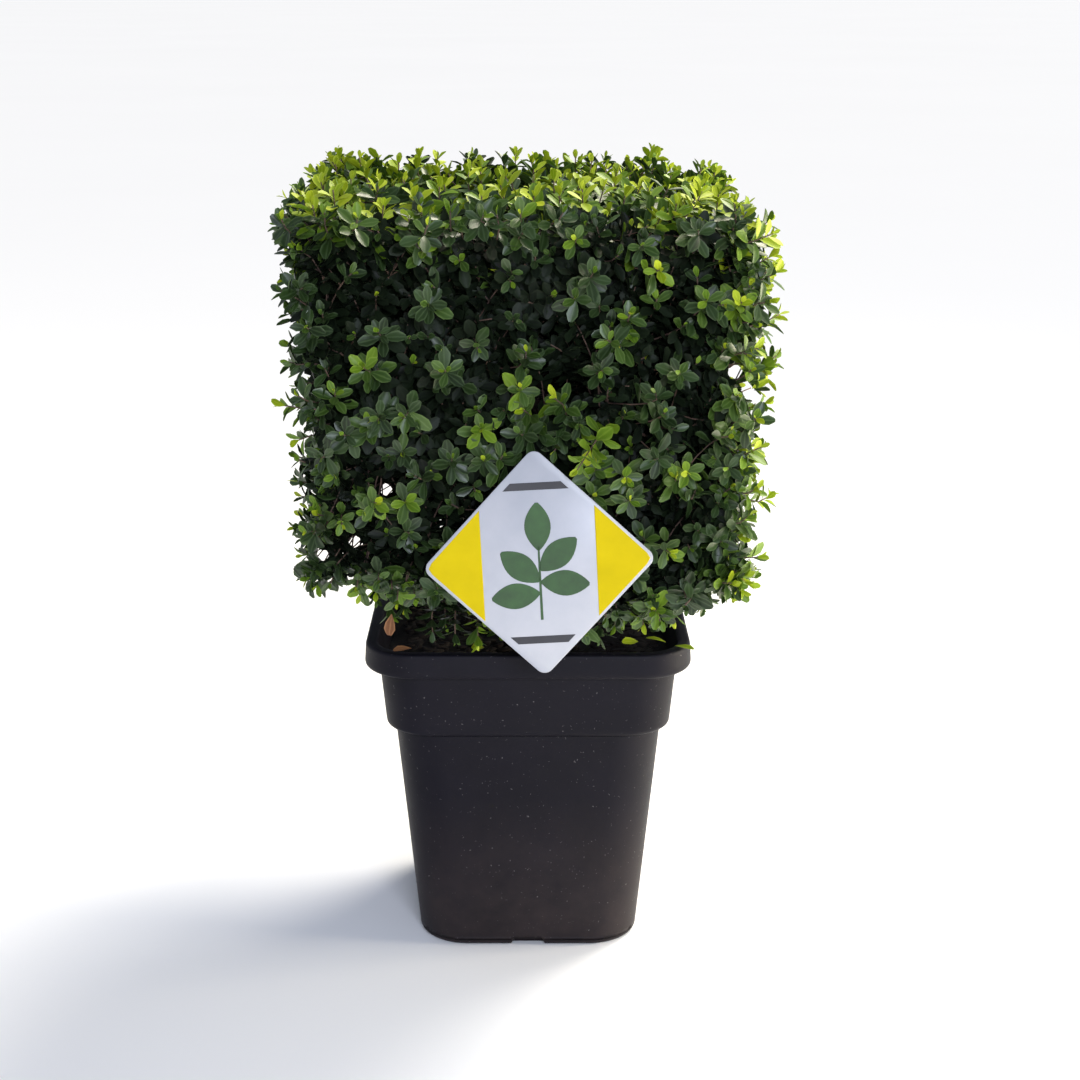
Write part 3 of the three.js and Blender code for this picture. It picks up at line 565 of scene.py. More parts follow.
def make_pot():
    """The pot's wall: a rounded profile from under the foot over the lip to the inside floor, carried round
    a rounded square; the foot's levels rise to the notch's outline in the middle of each side."""
    lip_foot = POT_HEIGHT - LIP_HEIGHT
    lip_top = (RIM_HALF - LIP_DRAFT, LIP_CORNER - LIP_DRAFT)
    under = BODY_FOOT_HALF - NOTCH_DEPTH
    run = BODY_FOOT_HALF - BODY_CORNER
    above = NOTCH_HEIGHT + NOTCH_CLEAR
    above_half = between(BODY_FOOT_HALF, BODY_TOP_HALF, above / COLLAR_FOOT_Z)
    # Rows of half width, corner radius, height and rounding.
    profile = np.array([
        (under + EDGE_STEP, under + EDGE_STEP - run, 0, 0),
        (BODY_FOOT_HALF, BODY_CORNER, 0, 6),
        (above_half, BODY_CORNER, above, 1),
        (BODY_TOP_HALF, BODY_CORNER, COLLAR_FOOT_Z, 1.5),
        (COLLAR_FOOT_HALF, COLLAR_CORNER, COLLAR_FOOT_Z + COLLAR_UNDER, 5),
        (COLLAR_TOP_HALF, COLLAR_CORNER, lip_foot - LIP_UNDER, 1),
        (RIM_HALF, LIP_CORNER, lip_foot, 6),
        (lip_top[0], lip_top[1], POT_HEIGHT, 3),
        (lip_top[0] - LIP_WALL, lip_top[1] - LIP_WALL, POT_HEIGHT, 3),
        (COLLAR_TOP_HALF - WALL, COLLAR_CORNER - WALL, lip_foot - LIP_INSIDE, 2),
        (COLLAR_FOOT_HALF - WALL, COLLAR_CORNER - WALL, COLLAR_FOOT_Z + COLLAR_INSIDE, 2),
        (BODY_TOP_HALF - WALL, BODY_CORNER - WALL, COLLAR_FOOT_Z, 2),
        (BODY_FOOT_HALF - WALL, BODY_CORNER - WALL, FLOOR_TOP, 0),
    ], float)
    centre = np.array([(under - EDGE_STEP, under - EDGE_STEP - run, 0)])
    levels = np.concatenate([centre, rounded_profile(profile)])
    edge = np.array([NOTCH_WIDTH, NOTCH_WIDTH - EDGE_STEP, NOTCH_TOP_WIDTH, NOTCH_MIDDLE]) / 2 / run
    flat = np.concatenate([[-SIDE_REACH], -edge, edge[::-1], [SIDE_REACH]])
    rings = square_rings(levels, flat, POT_CORNER_STEPS)
    beside = abs(rings[..., :2]).min(-1)
    slope = (NOTCH_WIDTH - NOTCH_TOP_WIDTH) / 2
    rise = NOTCH_HEIGHT * np.clip((NOTCH_WIDTH / 2 - beside) / slope, 0, 1)
    outer = abs(rings[..., :2]).max(-1) > under
    foot = outer & (np.arange(len(rings)) < len(rings) // 2)[:, None]
    rings[..., 2] = np.where(foot, np.maximum(rings[..., 2], rise), rings[..., 2])
    put("pot_wall", loft(rings), pot_plastic, ["pot"])


# The soil.
def soil_bumps(x, y):
    """Height of uneven ground: the relief times a sum of waves in random directions, each length half as
    long and half as high as the last."""
    waves = np.random.default_rng(SOIL_SEED)
    total = 0 * x
    for octave in range(SOIL_OCTAVES):
        turn, phase = waves.uniform(0, 2 * np.pi, (2, SOIL_WAVES))
        step = 2 * np.pi * 2 ** octave / SOIL_WAVE
        arg = step * (x[..., None] * np.cos(turn) + y[..., None] * np.sin(turn)) + phase
        total = total + np.sin(arg).mean(-1) / 2 ** octave
    return SOIL_RELIEF * total


def make_soil():
    """Compost filling the pot: rings from the floor up the wall, then inwards over a bumpy top."""
    height = (SOIL_TOP - COLLAR_FOOT_Z) / (POT_HEIGHT - LIP_HEIGHT - COLLAR_FOOT_Z)
    inset = WALL + SOIL_GAP
    top = between(COLLAR_FOOT_HALF, COLLAR_TOP_HALF, height) - inset
    corner = COLLAR_CORNER - inset
    wall = np.array([
        (BODY_FOOT_HALF - inset, BODY_CORNER - inset, FLOOR_TOP + SOIL_GAP),
        (BODY_TOP_HALF - inset, BODY_CORNER - inset, COLLAR_FOOT_Z),
        (COLLAR_FOOT_HALF - inset, corner, COLLAR_FOOT_Z + SOIL_STEP),
        (top - EDGE_STEP, corner, SOIL_TOP - SOIL_EDGE),
    ])
    share = np.linspace(1, SOIL_MIDDLE, SOIL_RINGS)[:, None]
    cover = share * np.array([[top, corner, 0]]) + np.array([[0, 0, SOIL_TOP]])
    flat = np.linspace(-1, 1, SOIL_SIDE_POINTS + 2)[1:-1]
    rings = square_rings(np.concatenate([wall, cover]), flat, SOIL_CORNER_STEPS)
    bumps = soil_bumps(rings[..., 0], rings[..., 1]) - SOIL_SINK
    rings[len(wall):, :, 2] += bumps[len(wall):]
    put("potting_soil", loft(rings), compost, ["soil"])


def make_chips(count):
    """Bark flakes on the soil: flat four-sided slabs, turned and tilted at random, as one piece."""
    half = COLLAR_TOP_HALF - WALL - CHIP_TO_WALL
    place = random.uniform(-half, half, (count, 2))
    place = place[np.linalg.norm(place, axis=1) > CHIP_TO_TRUNK]
    count = len(place)
    level = SOIL_TOP + soil_bumps(place[:, 0], place[:, 1]) - CHIP_SINK
    turn = random.uniform(0, 2 * np.pi, count)
    size = random.uniform(*CHIP_SIZES, (count, 3))
    along = unit(np.stack([np.cos(turn), np.sin(turn), random.normal(0, CHIP_TILT, count)], 1))
    beside = unit(np.cross(UP, along) + random.normal(0, CHIP_TILT, (count, 3)))
    thick = (size[:, 2:] * np.cross(along, beside))[:, None]
    corner = np.array([(-1, -1), (1, -0.7), (0.8, 1), (-0.6, 0.8)])
    lengthwise = corner[:, :1] * (size[:, :1] * along)[:, None]
    crosswise = corner[:, 1:] * (size[:, 1:2] * beside)[:, None]
    outline = lengthwise + crosswise
    centre = np.column_stack([place, level])[:, None]
    rings = np.stack([centre + outline - thick, centre + CHIP_TAPER * outline + thick], axis=1)
    put("bark_chips", loft(rings, count), pine_chips)


# The wood.
def trunk_point(share):
    """A point of the trunk's curve, which drifts a little to the left and back."""
    start = np.array([0, 0, SOIL_TOP - ROOT_FLARE])
    bend = np.array([-TRUNK_LEAN, TRUNK_LEAN / 2, (SOIL_TOP + FORK_Z) / 2])
    return bezier(start, bend, np.array([TRUNK_LEAN / 2, -TRUNK_LEAN / 2, FORK_Z]), share)


def leader_point(share):
    """A point of the middle stem, which goes on from the trunk's fork up into the leaves."""
    start = trunk_point(1)
    heading = unit(start - trunk_point(1 - AHEAD))
    bend = start + heading * (HOLLOW_TOP - FORK_Z) / 2
    return bezier(start, bend, np.array([0, 0, HOLLOW_TOP + CORE_INSET]), share)


def bough_curves():
    """Start, bend and end of each bough: they climb round the trunk one past the other."""
    order = np.arange(BOUGHS)
    turn = BOUGH_TURN + order * LEAF_TURN
    out = np.stack([np.cos(turn), np.sin(turn), 0 * turn], 1)
    reach = (HOLLOW_HALF / abs(out).max(1) + BOUGH_PAST)[:, None]
    share = (order + 0.5) / BOUGHS
    start = trunk_point(BOUGH_FROM + BOUGH_SPAN * share) + BOUGH_START * out
    end = out * reach + between(*BOUGH_HEIGHTS, share)[:, None] * UP
    height = between(start[:, 2], end[:, 2], BOUGH_SWEEP)[:, None]
    bend = out * reach / 2 + height * UP
    return np.stack([start, bend, end], 1)


def barky(radius, along, angle, seed):
    """A limb's radius with bark relief: lengthwise cracks by the size of a sine round the limb that sways
    along it, and knobs by a product of two sines, both shares of the radius."""
    drift = np.random.default_rng(seed).uniform(0, BARK_DRIFT, 4)
    sway = CRACK_SWAY * np.sin(along / CRACK_WAVE + drift[0])
    crack = abs(np.sin(BARK_CRACKS / 2 * angle + sway + drift[1]))
    near = np.sin(along / KNOB_WAVES[0] + 2 * np.sin(angle + drift[2]))
    knob = near * np.sin(2 * angle + along / KNOB_WAVES[1] + drift[3])
    return radius * (BARK_BASE + CRACK_DEPTH * crack + KNOB_HEIGHT * knob)


def make_wood():
    """Trunk and middle stem as one tapering limb with a fluted root flare, and the boughs, with bark."""
    angle = np.arange(LIMB_SIDES) * 2 * np.pi / LIMB_SIDES
    share = np.linspace(0, 1, LIMB_STEPS)[:, None]
    stem = np.concatenate([trunk_point(share[:, 0]), leader_point(share[1:, 0])])
    flare = ROOT_FLARE * np.exp(-FLARE_FADE * share) * (1 + FLUTE_DEPTH * np.cos(FLUTES * angle))
    trunk_radius = between(TRUNK_BASE_RADIUS, TRUNK_TIP_RADIUS, share) + flare
    leader_radius = between(TRUNK_TIP_RADIUS, LEADER_TIP_RADIUS, share[1:]) + 0 * angle
    radius = barky(np.concatenate([trunk_radius, leader_radius]), stem[:, 2:], angle, seed=1)
    put("trunk_bark", tubes(stem[None], radius[None], LIMB_SIDES), holly_bark, ["trunk"])
    half_share = share[None, ::2]
    path = curve_points(bough_curves(), half_share[..., 0])
    length = np.cumsum(np.linalg.norm(np.gradient(path, axis=1), axis=2), axis=1)[..., None]
    radius = barky(between(BOUGH_BASE_RADIUS, BOUGH_TIP_RADIUS, half_share), length, angle, seed=2)
    nodes = [f"bough_{k + 1}" for k in range(BOUGHS)]
    put("bough_bark", tubes(path, radius, LIMB_SIDES), holly_bark, nodes)


# The clipped block.
def crown_half(z):
    """Half the clipped width, which grows upwards."""
    return between(CROWN_FOOT_HALF, CROWN_HALF, ramp(z, CROWN_FOOT, CROWN_TOP - CROWN_FOOT))


def crown_foot(x):
    """Height of the clipped block's foot, which rises to both sides by a bell curve."""
    away = (x - CROWN_FOOT_AT) / CROWN_FOOT_WIDTH
    return CROWN_FOOT + CROWN_FOOT_RISE * (1 - np.exp(-away ** 2))


def outside_crown(point):
    """How far points stand out of the clipped block, negative inside: the distance to a box with rounded
    edges, with a slanting cut on the top right edge and a dent on the front left one."""
    half = crown_half(point[..., 2]) - CROWN_EDGE
    foot = crown_foot(point[..., 0])
    over = np.stack([
        abs(point[..., 0]) - half,
        abs(point[..., 1]) - half,
        abs(point[..., 2] - (CROWN_TOP + foot) / 2) - (CROWN_TOP - foot) / 2 + CROWN_EDGE,
    ], axis=-1)
    box = np.linalg.norm(np.maximum(over, 0), axis=-1) + np.minimum(over.max(-1), 0) - CROWN_EDGE
    above = point[..., 2] - CROWN_TOP + CROWN_CHAMFER + CHAMFER_SLOPE * (point[..., 0] - CROWN_HALF)
    slant = above / np.hypot(1, CHAMFER_SLOPE)
    away = np.linalg.norm(point - DENT_AT, axis=-1) / DENT_WIDTH
    return np.maximum(box + DENT_DEPTH * np.exp(-away ** 2), slant)


def inside_hollow(point, margin):
    """Whether points lie in the bare space round the boughs."""
    half = HOLLOW_HALF + margin
    return (abs(point[..., :2]) < half).all(-1) & (point[..., 2] < HOLLOW_TOP + margin)


# The twigs.
def spread_tips(along, inset, front_share=0):
    """Twig tips on a shaken grid over the four sides, the top and the foot, each carried on to the rounded
    skin and set a random depth inside it, a share of them near the skin. Returns the tips, the way out
    there and the depths."""
    cell = np.indices((FACES, along, along)).reshape(3, -1)
    shake = random.uniform(-TIP_SHAKE, TIP_SHAKE, (2, cell.shape[1]))
    place = (cell[1:] + 0.5 + shake) / along * 2 - 1
    level = between(CROWN_FOOT, CROWN_TOP, (place[1] + 1) / 2)
    x, y = place[0] * CROWN_HALF, 0 * place[0] - CROWN_HALF
    turn = cell[0] * np.pi / 2
    turned = np.stack([x * np.cos(turn) - y * np.sin(turn), x * np.sin(turn) + y * np.cos(turn), level], 1)
    flat = np.stack([x, place[1] * CROWN_HALF, np.where(cell[0] == TOP_FACE, CROWN_TOP, crown_foot(x))], 1)
    point = np.where(cell[:1].T >= TOP_FACE, flat, turned)
    half = (crown_half(point[:, 2]) - CROWN_EDGE)[:, None]
    level = np.clip(point[:, 2], crown_foot(point[:, 0]) + CROWN_EDGE, CROWN_TOP - CROWN_EDGE)
    nearest = np.column_stack([np.clip(point[:, :2], -half, half), level])
    outward = unit(point - nearest)
    column = (len(point), 1)
    outermost = random.uniform(0, 1, column) < front_share
    front_depth = random.uniform(*FRONT_INSET, column)
    depth = np.where(outermost, front_depth, random.uniform(*inset, column))
    tip = nearest + outward * (CROWN_EDGE - depth)
    # The way to the skin along the way out is found in a few steps.
    for _ in range(3):
        tip = tip - outward * np.maximum(outside_crown(tip)[:, None] + depth, 0)
    keep = ~inside_hollow(tip, TIP_TO_HOLLOW)
    return tip[keep], outward[keep], depth[keep, 0]


def twig_headings(tips, out):
    """The way each twig points at its tip: the way out, lifted a little, and at the foot to the nearer side
    and down; all shaken."""
    flat = tips[:, :2]
    sideways = unit(np.where(abs(flat) == abs(flat).max(1, keepdims=True), flat, 0))
    under = np.column_stack([sideways, np.full(len(tips), -FOOT_DROOP)])
    lifted = np.where(out[:, 2:] < FOOT_FACING, under, out + TWIG_LIFT * UP)
    return unit(lifted + random.normal(0, HEADING_SHAKE, tips.shape))


def grow_twigs(rounds):
    """The growing rule: tips, nearest the wood's start first, each join the wood where the way is shortest,
    by a curve that leaves the wood and reaches its tip along its heading. Returns start, bend and end of
    each twig, how many twigs hang on it, and its tip's number."""
    starts = np.concatenate([leader_point(np.array([1.0])), bough_curves()[:, 2]])
    total = sum(len(tips) for tips, headings in rounds)
    wood = np.concatenate([starts, np.zeros((total, 3))])
    way = np.zeros(len(wood))
    parent = np.zeros(len(wood), int)
    curves = np.zeros((total, 3, 3))
    number = np.zeros(total, int)
    made = len(starts)
    first = 0
    for tips, headings in rounds:
        away = np.linalg.norm(tips[:, None] - starts, axis=2).min(1)
        for k in np.argsort(away):
            tip = tips[k]
            far = np.linalg.norm(wood[:made] - tip, axis=1)
            cost = far + SAP_COST * way[:made] + SHORT_COST * np.maximum(TWIG_LEAST - far, 0)
            near = np.argsort(cost)[:WAYS_TRIED]
            bends = tip - TWIG_BEND * far[near, None] * headings[k]
            path = bezier(wood[near, None], bends[:, None], tip, np.linspace(0.2, 0.8, 4)[None])
            pick = np.argmin(cost[near] + BARE_COST * inside_hollow(path, 0).any(1))
            joined, bend = near[pick], bends[pick]
            curves[made - len(starts)] = wood[joined], bend, tip
            number[made - len(starts)] = first + k
            wood[made] = bezier(wood[joined], bend, tip, JOIN_AT)
            way[made] = way[joined] + JOIN_AT * far[joined]
            parent[made] = joined
            made += 1
        first += len(tips)
    carried = np.ones(len(wood))
    for k in range(len(wood) - 1, len(starts) - 1, -1):
        carried[parent[k]] += carried[k]
    return curves, carried[len(starts):], number


def drooping_twigs(count):
    """Start, bend and tip of twigs under the front half of the foot: each comes out of the crown forwards,
    bends down and ends a little over the lip, higher towards both sides."""
    x = np.linspace(*DROOP_X, count) + random.uniform(-DROOP_SHAKE, DROOP_SHAKE, count)
    y = random.uniform(*DROOP_Y, count)
    z = random.uniform(*DROOP_TIP, count) + DROOP_RISE * np.maximum(abs(x) - DROOP_MIDDLE, 0)
    tip = np.stack([x, y, z], 1)
    start, bend = (
        tip + np.stack([slant * x, random.uniform(*behind, count), random.uniform(*above, count)], 1)
        for slant, (behind, above) in ((-START_INWARD, DROOP_START), (BEND_OUTWARD, DROOP_BEND))
    )
    return np.stack([start, bend, tip], 1)


def crown_twigs():
    """All twigs of the crown: first the coarse ones, on these the finer and the inner ones, then the
    drooping ones and the one in front of the label. Returns their curves, how many twigs each carries,
    their depths and how far the way out looks up there."""
    layers = [
        spread_tips(COARSE_ALONG, COARSE_INSET),
        spread_tips(FINE_ALONG, DEEP_INSET, FRONT_SHARE),
        spread_tips(INNER_ALONG, INNER_INSET),
    ]
    coarse = len(layers[0][0])
    tips, out, depth = (np.concatenate(rows) for rows in zip(*layers))
    heading = twig_headings(tips, out)
    rounds = [(tips[:coarse], heading[:coarse]), (tips[coarse:], heading[coarse:])]
    grown, carried, number = grow_twigs(rounds)
    stray = np.concatenate([drooping_twigs(DROOPING), LABEL_TWIG])
    alone = np.ones(len(stray))
    curves = np.concatenate([grown, stray])
    carried = np.concatenate([carried, alone])
    depth = np.concatenate([depth[number], 0 * alone])
    upward = np.concatenate([out[number, 2], 0 * alone])
    return curves, carried, depth, upward


def make_twigs(curves, carried, before_label):
    """Twigs as one piece: tapering tubes along their curves, thicker by a power of the number of twigs that
    they carry."""
    share = np.linspace(0, 1, TWIG_POINTS)[None]
    path = curve_points(curves, share)
    thick = np.minimum(TWIG_RADIUS * carried ** TWIG_GROWTH, BOUGH_TIP_RADIUS)[:, None]
    radius = between(thick, TWIG_TIP_RADIUS, share)[..., None]
    clear = (clear_of_label(path) & clear_of_openings(path)).all(1) | before_label
    put("twigs", tubes(path[clear], radius[clear], TWIG_SIDES), twig_rind, ["foliage"])


# What the leaves keep clear of.
def clear_of_openings(point):
    """Whether points keep off the lines of sight through the openings."""
    keep = np.ones(point.shape[:-1], bool)
    for *place, radius in OPENINGS:
        way = unit(np.array(place) - EYE)
        keep &= np.linalg.norm(np.cross(point - EYE, way), axis=-1) > radius + OPENING_SPARE
    return keep


def label_axes():
    """The label's own directions: to the right, up and forwards, turned and leaned as it stands."""
    turn, lean = np.radians([LABEL_TURN, LABEL_LEAN])
    up = np.array([0, np.sin(lean), np.cos(lean)])
    front = np.array([0, -np.cos(lean), np.sin(lean)])
    across = np.cos(turn) * RIGHT + np.sin(turn) * up
    upright = np.cos(turn) * up - np.sin(turn) * RIGHT
    return np.array([across, upright, front])


def clear_of_label(point):
    """Whether points keep off the card, the space in front of it and its stake."""
    local = (point - LABEL_CENTRE) @ label_axes().T
    from_middle = abs(local[..., 0]) + abs(local[..., 1])
    forward = local[..., 2]
    on_card = (from_middle < CARD_TIP - CARD_COVER) & (forward > -CARD_ROOM)
    near_edge = (from_middle < CARD_TIP + EDGE_ROOM) & (abs(forward) < CARD_ROOM)
    run = LABEL_CENTRE - STAKE_FOOT
    share = np.clip((point - STAKE_FOOT) @ run / (run @ run), 0, 1)
    by_stake = np.linalg.norm(point - STAKE_FOOT - share[..., None] * run, axis=-1) < STAKE_ROOM
    return ~(on_card | near_edge | by_stake)


# The leaves.
def leaf_grids(share, root, along, face, length, width, cup, curl):
    """Leaf blades as grids of 3 points at each share s of the length. The half width there is half the
    width times sin(pi s^1.6)^0.6, which is widest beyond the middle and round at the tip, but no less than
    a stalk's; the sides stand up by cup times the half width and the tip bends back by curl times s^2."""
    share = np.array(share)[:, None]
    side = np.array([-1.0, 0.0, 1.0])
    # Just short of the tip, where the sine is 0.
    bulge = np.sin(np.pi * np.minimum(share, 0.999) ** LEAF_PEAK) ** LEAF_ROUND
    half = np.maximum(bulge, STALK_HALF + STALK_GROWTH * share)
    beside = np.cross(face, along)
    out = (share + 0 * side)[None] * length[:, None, None]
    over = (half * side)[None] * width[:, None, None] / 2
    lift = cup[:, None, None] * abs(over) - (curl * length)[:, None, None] * (share ** 2 + 0 * side)
    blades = root[:, None, None] + out[..., None] * along[:, None, None]
    return blades + over[..., None] * beside[:, None, None] + lift[..., None] * face[:, None, None]


def put_leaves(name, blades, tone, material):
    """Joins leaf blades into one piece; each carries its own tone, and its midrib is marked."""
    count, rows = blades.shape[:2]
    faces = grid_faces(rows, 3, count, closed=False)
    piece = put(name, (blades.reshape(-1, 3), faces.tolist()), material, ["foliage"])
    per_point = np.repeat(tone, rows * 3).astype(np.float32)
    piece.data.attributes.new("tone", "FLOAT", "POINT").data.foreach_set("value", per_point)
    middle = np.tile(np.array([0, 1, 0], np.float32), count * rows)
    piece.data.attributes.new("midrib", "FLOAT", "POINT").data.foreach_set("value", middle)


def leaf_places(curves):
    """Leaves turned round the twigs one after the other from the tip backwards: small and steep at the tip,
    larger and flatter behind it. Returns the share of the twig where each sits, its root, the ways it
    points and faces, and its size."""
    step = np.arange(LEAVES_PER_TWIG)
    back = LEAF_FIRST + LEAF_SPACING * step + SPACING_GROWTH * step ** 2
    reach = np.linalg.norm(curves[:, 2] - curves[:, 0], axis=1)[:, None]
    at = 1 - back[None] / reach
    root = curve_points(curves, np.maximum(at, 0))
    ahead = unit(curve_points(curves, np.maximum(at, 0) + AHEAD) - root)
    turn = random.uniform(0, 2 * np.pi, (len(curves), 1)) + step * LEAF_TURN
    turn = turn + random.normal(0, TURN_SHAKE, at.shape)
    across = unit(np.cross(ahead, SLANT))
    spoke = np.cos(turn)[..., None] * across + np.sin(turn)[..., None] * np.cross(ahead, across)
    age = 1 - np.exp(-step / LEAF_AGING)
    degrees = between(*LEAF_ANGLES, age) + random.normal(0, ANGLE_SHAKE, at.shape)
    opened = np.radians(degrees)[..., None]
    along = np.cos(opened) * ahead + np.sin(opened) * spoke
    face = np.sin(opened) * ahead - np.cos(opened) * spoke
    size = between(*LEAF_SIZES, age) * random.normal(1, SIZE_SHAKE, at.shape)
    return at, root, along, face, size


def leaf_lightness(root, tip, depth, upward, before_label):
    """How light each leaf's colour is: its twig's own lightness, more at the twig's tip and more under
    painted sunlight on top and on the right, both fading exponentially along the twig; leaves deep inside
    get the colour of painted shade."""
    step = np.arange(LEAVES_PER_TWIG)
    on_top = ramp(upward, *SUN_UPWARD) * (depth < SUN_DEPTH)
    on_right = RIGHT_SHARE * ramp(tip[:, 0], *SUN_RIGHT)
    painted_sun = np.minimum(on_top + on_right, 1)[:, None]
    youth = np.minimum(random.normal(*YOUTH, len(root)), YOUTH_MOST) - DEEP_TWIG_DARKENING * (depth > DARKER_TWIG_DEPTH)
    youth = np.where(before_label, LABEL_TWIG_YOUTH, youth)[:, None]
    light = youth + TIP_LIGHT * np.exp(-step / TIP_FADE) + random.normal(0, LIGHT_SHAKE, root.shape[:2])
    light = light + SUN_LIGHT * painted_sun * np.exp(-step / SUN_FADE)
    # Leaves deep inside take the painted shade colour.
    in_shade = -outside_crown(root) > SHADE_DEPTH + SHADE_SUN * painted_sun
    return np.where(in_shade, SHADE_LIGHT, np.maximum(light, LIGHT_LEAST))


def put_leaf_kinds(group, blades, light):
    """Sorts leaves into their kinds by lightness, and each kind into pieces below the triangle limit."""
    tone = random.uniform(0, 1, len(blades))
    triangles = (blades.shape[1] - 1) * 4
    for name, low, high, material in LEAF_KINDS:
        members = np.flatnonzero((light >= low) & (light < high))
        pieces = len(members) * triangles // PIECE_LIMIT + 1
        for k, part in enumerate(np.array_split(members, pieces)):
            if len(part):
                put_leaves(f"{group}_{name}_{k + 1}", blades[part], tone[part], material)


def make_foliage():
    """Twigs and leaves of the crown. A leaf stays where it keeps inside the clipped block, or hangs on a
    drooping twig, and keeps clear of label, openings and lip; the twig in front of the label keeps all."""
    curves, carried, depth, upward = crown_twigs()
    order = np.arange(len(curves))
    before_label = order == len(curves) - len(LABEL_TWIG)
    stray = order >= len(curves) - len(LABEL_TWIG) - DROOPING
    make_twigs(curves, carried, before_label)
    at, root, along, face, size = leaf_places(curves)
    light = leaf_lightness(root, curves[:, 2], depth, upward, before_label)
    most = LEAVES_PER_TWIG - CORE_FEWER * (depth > CORE_DEPTH)
    grown = (at > LEAF_BARE) & (np.arange(LEAVES_PER_TWIG) < most[:, None])
    for group, above, below, shares in LEAF_GROUPS:
        kept = grown & ((depth > above) & (depth <= below))[:, None]
        twig = np.nonzero(kept)[0]
        cup = random.uniform(*LEAF_CUP, len(twig))
        curl = random.uniform(*LEAF_CURL, len(twig))
        length, width = LEAF_LENGTH * size[kept], LEAF_WIDTH * size[kept]
        blades = leaf_grids(shares, root[kept], along[kept], face[kept], length, width, cup, curl)
        corner = blades.reshape(len(blades), -1, 3)
        inside = (outside_crown(corner) < SKIN_SPARE).all(1) | stray[twig]
        over_lip = corner[..., 2] > POT_HEIGHT + LIP_SPARE
        clear = (clear_of_label(corner) & clear_of_openings(corner) & over_lip).all(1)
        good = (inside & clear) | before_label[twig]
        put_leaf_kinds(group, blades[good], light[kept][good])


def shed_leaves(name, places, material):
    """Single leaves, each by its root, the way it points and the way its face looks, the last ones smaller
    and more curled."""
    root, along, face = places[:, 0], unit(places[:, 1]), places[:, 2]
    face = unit(face - (face * along).sum(1, keepdims=True) * along)
    length = SHED_LENGTH * np.linspace(*SHED_SIZES, len(places))
    cup = np.full(len(places), SHED_CUP)
    curl = np.linspace(*SHED_CURL, len(places))
    blades = leaf_grids(OUTER_SHARES, root, along, face, length, SHED_WIDTH * length, cup, curl)
    put_leaves(name, blades, np.linspace(0, 1, len(places)), material)


# The label.
def card_outline(half, corner):
    """A rounded square set on its corner, as points in the label's own plane."""
    bend = np.linspace(0, np.pi / 2, CARD_CORNER_POINTS)
    quarter = half - corner + corner * np.stack([np.cos(bend), np.sin(bend)], 1)
    x, y = quarter.T
    square = np.concatenate([quarter, np.stack([-y, x], 1), -quarter, np.stack([y, -x], 1)])
    return np.stack([square[:, 0] - square[:, 1], square[:, 0] + square[:, 1]], 1) * 0.5 ** 0.5


def plate(outlines, heights):
    """Outlines in the label's plane, one a height above it, joined into a closed plate where it stands."""
    flat = np.concatenate([outlines, heights[:, None, None] + 0 * outlines[..., :1]], axis=-1)
    return loft(LABEL_CENTRE + flat @ label_axes())


def ink(outline):
    """A printed area: its outline drawn up from the card, with a smaller one that keeps its face flat."""
    face = LABEL_THICKNESS / 2
    inner = between(outline.mean(0), outline, INK_FLAT)
    heights = np.array([face - INK_SINK, face + INK_RISE, face + INK_RISE])
    return plate(np.stack([outline, outline, inner]), heights)


def leaf_print(root, angle, length, width):
    """A printed leaf's outline: half widths along its length by sin(pi s)^0.8, up one side and down the
    other."""
    share = np.linspace(0.02, 0.98, SPRIG_LEAF_POINTS)
    half = width / 2 * np.sin(np.pi * share) ** SPRIG_ROUND
    along = np.array([np.cos(angle), np.sin(angle)])
    beside = np.array([-np.sin(angle), np.cos(angle)])
    right = length * share[:, None] * along - half[:, None] * beside
    left = length * share[:, None] * along + half[:, None] * beside
    return root + np.concatenate([right, left[::-1]])


def make_card():
    """A white card with a rounded edge: yellow corners at the sides, a dark band in each other corner and a
    green sprig in the middle."""
    half, thick = LABEL_SIDE / 2, LABEL_THICKNESS / 2
    rounding = np.array([(CARD_EDGE, -1), (0, -0.5), (0, 0.5), (CARD_EDGE, 1)])
    rings = np.stack([card_outline(half - inset, LABEL_CORNER - inset) for inset in rounding[:, 0]])
    put("label_card", plate(rings, rounding[:, 1] * thick), white_card, ["plant_label"])
    for side, name in ((-1, "left"), (1, "right")):
        wedge = side * (CORNER_PRINT + np.array([CARD_TIP, 0]))
        put(f"label_corner_{name}", ink(wedge), yellow_ink)
    for side, name in ((-1, "bottom"), (1, "top")):
        band = side * (BAND_PRINT + np.array([0, CARD_TIP]))
        put(f"label_band_{name}", ink(band), charcoal_ink)
    for k, (degrees, height) in enumerate(SPRIG):
        outline = leaf_print(np.array([0, height]), np.radians(degrees), *SPRIG_LEAF)
        put(f"label_leaf_{k + 1}", ink(outline), green_ink)
    put("label_stem", ink(SPRIG_STEM), green_ink)


def make_stake():
    """A flat stake with blunt edges: one section carried straight from the soil to the card's back."""
    run = LABEL_CENTRE - STAKE_FOOT + np.array([0, STAKE_BEHIND, 0])
    through = unit(np.cross(run, RIGHT))
    section = np.array([
        (-1, -0.6), (-0.9, -1), (0.9, -1), (1, -0.6),
        (1, 0.6), (0.9, 1), (-0.9, 1), (-1, 0.6),
    ])
    ring = section[:, :1] * RIGHT * STAKE_WIDTH / 2 + section[:, 1:] * through * STAKE_THICKNESS / 2
    rings = STAKE_FOOT + np.array([0, 0.5, 1])[:, None, None] * run + ring
    put("label_stake", loft(rings), white_card, ["plant_label"])


make_pot()
make_soil()
make_chips(CHIPS)
make_wood()
make_foliage()
shed_leaves("shed_leaves", SHED_LEAVES, young_and_sunlit_leaf)
shed_leaves("withered_leaves", WITHERED_LEAVES, withered_leaf)
make_card()
make_stake()


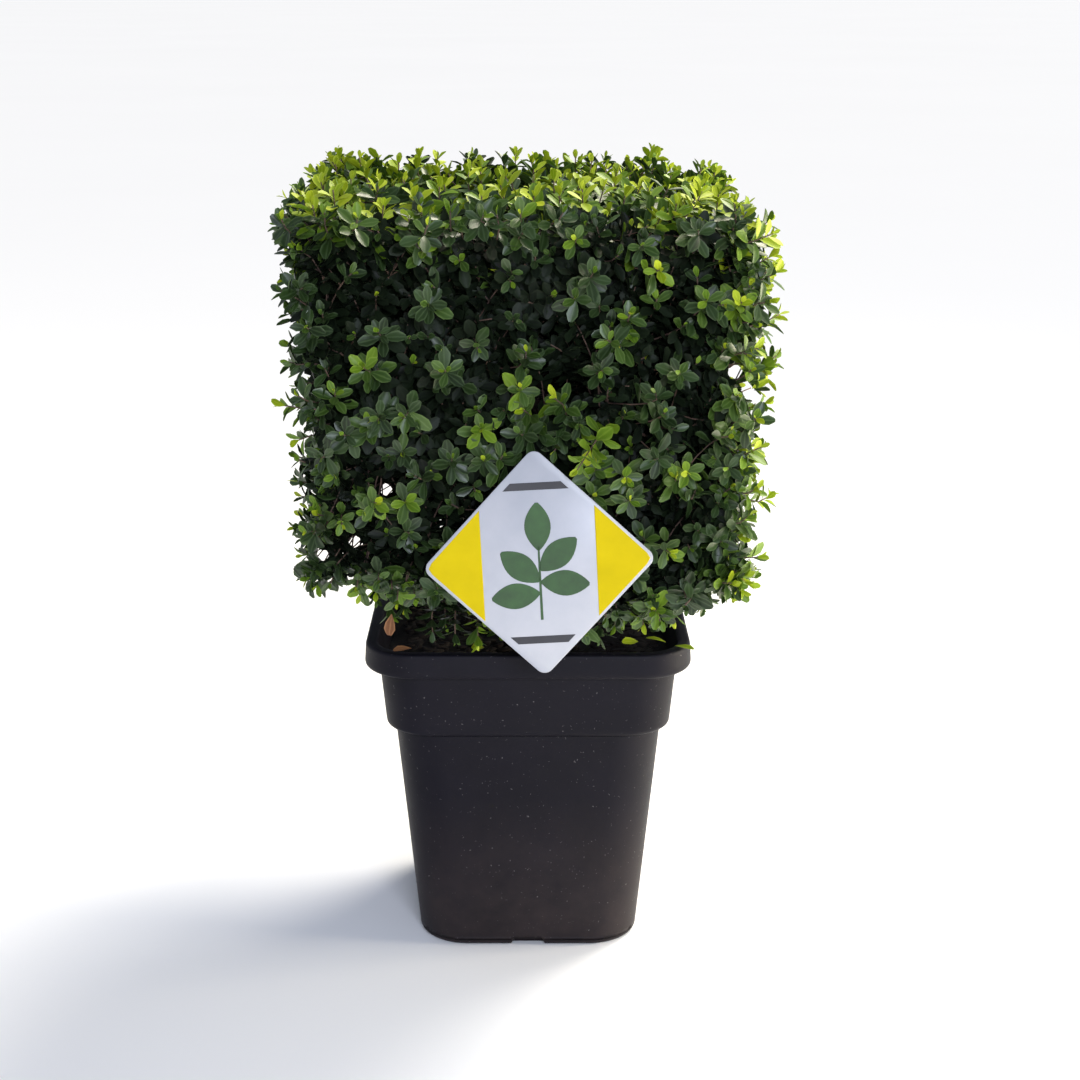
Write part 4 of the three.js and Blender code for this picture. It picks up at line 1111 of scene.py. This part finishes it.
# Camera, pale floor and soft light.
def add_light(name, kind, way, power, colour):
    """A light that shines along a way, not yet in its place."""
    light = bpy.data.objects.new(name, bpy.data.lights.new(name, kind))
    light.data.energy = power
    light.data.color = linear(colour)[:3]
    light.rotation_euler = way.to_track_quat("-Z", "Y").to_euler()
    bpy.context.scene.collection.objects.link(light)
    return light


def area_light(name, place, aim, size, power, colour):
    """A square soft light at a place in metres, turned towards its aim."""
    light = add_light(name, "AREA", Vector(aim) - Vector(place), power, colour)
    light.location = place
    light.data.size = size


camera = bpy.data.objects.new("camera", bpy.data.cameras.new("camera"))
camera.location = EYE * MM
camera.rotation_euler = (np.pi / 2 - CAMERA_TILT, 0, 0)
camera.data.lens = CAMERA_LENS
camera.data.sensor_width = CAMERA_SENSOR
camera.data.shift_x = CAMERA_SHIFT
camera.data.clip_end = CAMERA_REACH
bpy.context.scene.collection.objects.link(camera)
bpy.context.scene.camera = camera

floor_corners = FLOOR_HALF * np.array([(-1, -1, 0), (1, -1, 0), (1, 1, 0), (-1, 1, 0)])
floor_mesh = bpy.data.meshes.new("floor")
floor_mesh.from_pydata(floor_corners.tolist(), [], [(0, 1, 2, 3)])
floor_mesh.materials.append(mottled("pale_floor", "#fbfbfb", "#fdfdfd", size=3000, roughness=0.9, relief=0))
floor = bpy.data.objects.new("floor", floor_mesh)
bpy.context.scene.collection.objects.link(floor)

world = bpy.data.worlds.new("studio")
world.use_nodes = True
world.node_tree.nodes.clear()
sky = add(world.node_tree, "Background", {"Color": linear("#e6eeff"), "Strength": 0.45})
add(world.node_tree, "OutputWorld", {"Surface": sky.outputs[0]})
bpy.context.scene.world = world
bpy.context.scene.view_settings.view_transform = "Standard"

sun = add_light("sun", "SUN", Vector((-0.62, -0.62, -1)), 2.6, "#fffaf0")
sun.data.angle = 0.5
area_light("top", (0.55, 0.5, 1.75), (0, 0, 0.6), 0.7, 22, "#fff3d8")
area_light("side", (1.6, -0.1, 0.45), (0, 0, 0.3), 0.7, 36, "#fff4dc")
area_light("front", (0.5, -2.6, 1.3), (0, 0, 0.45), 0.9, 42, "#e4ebff")
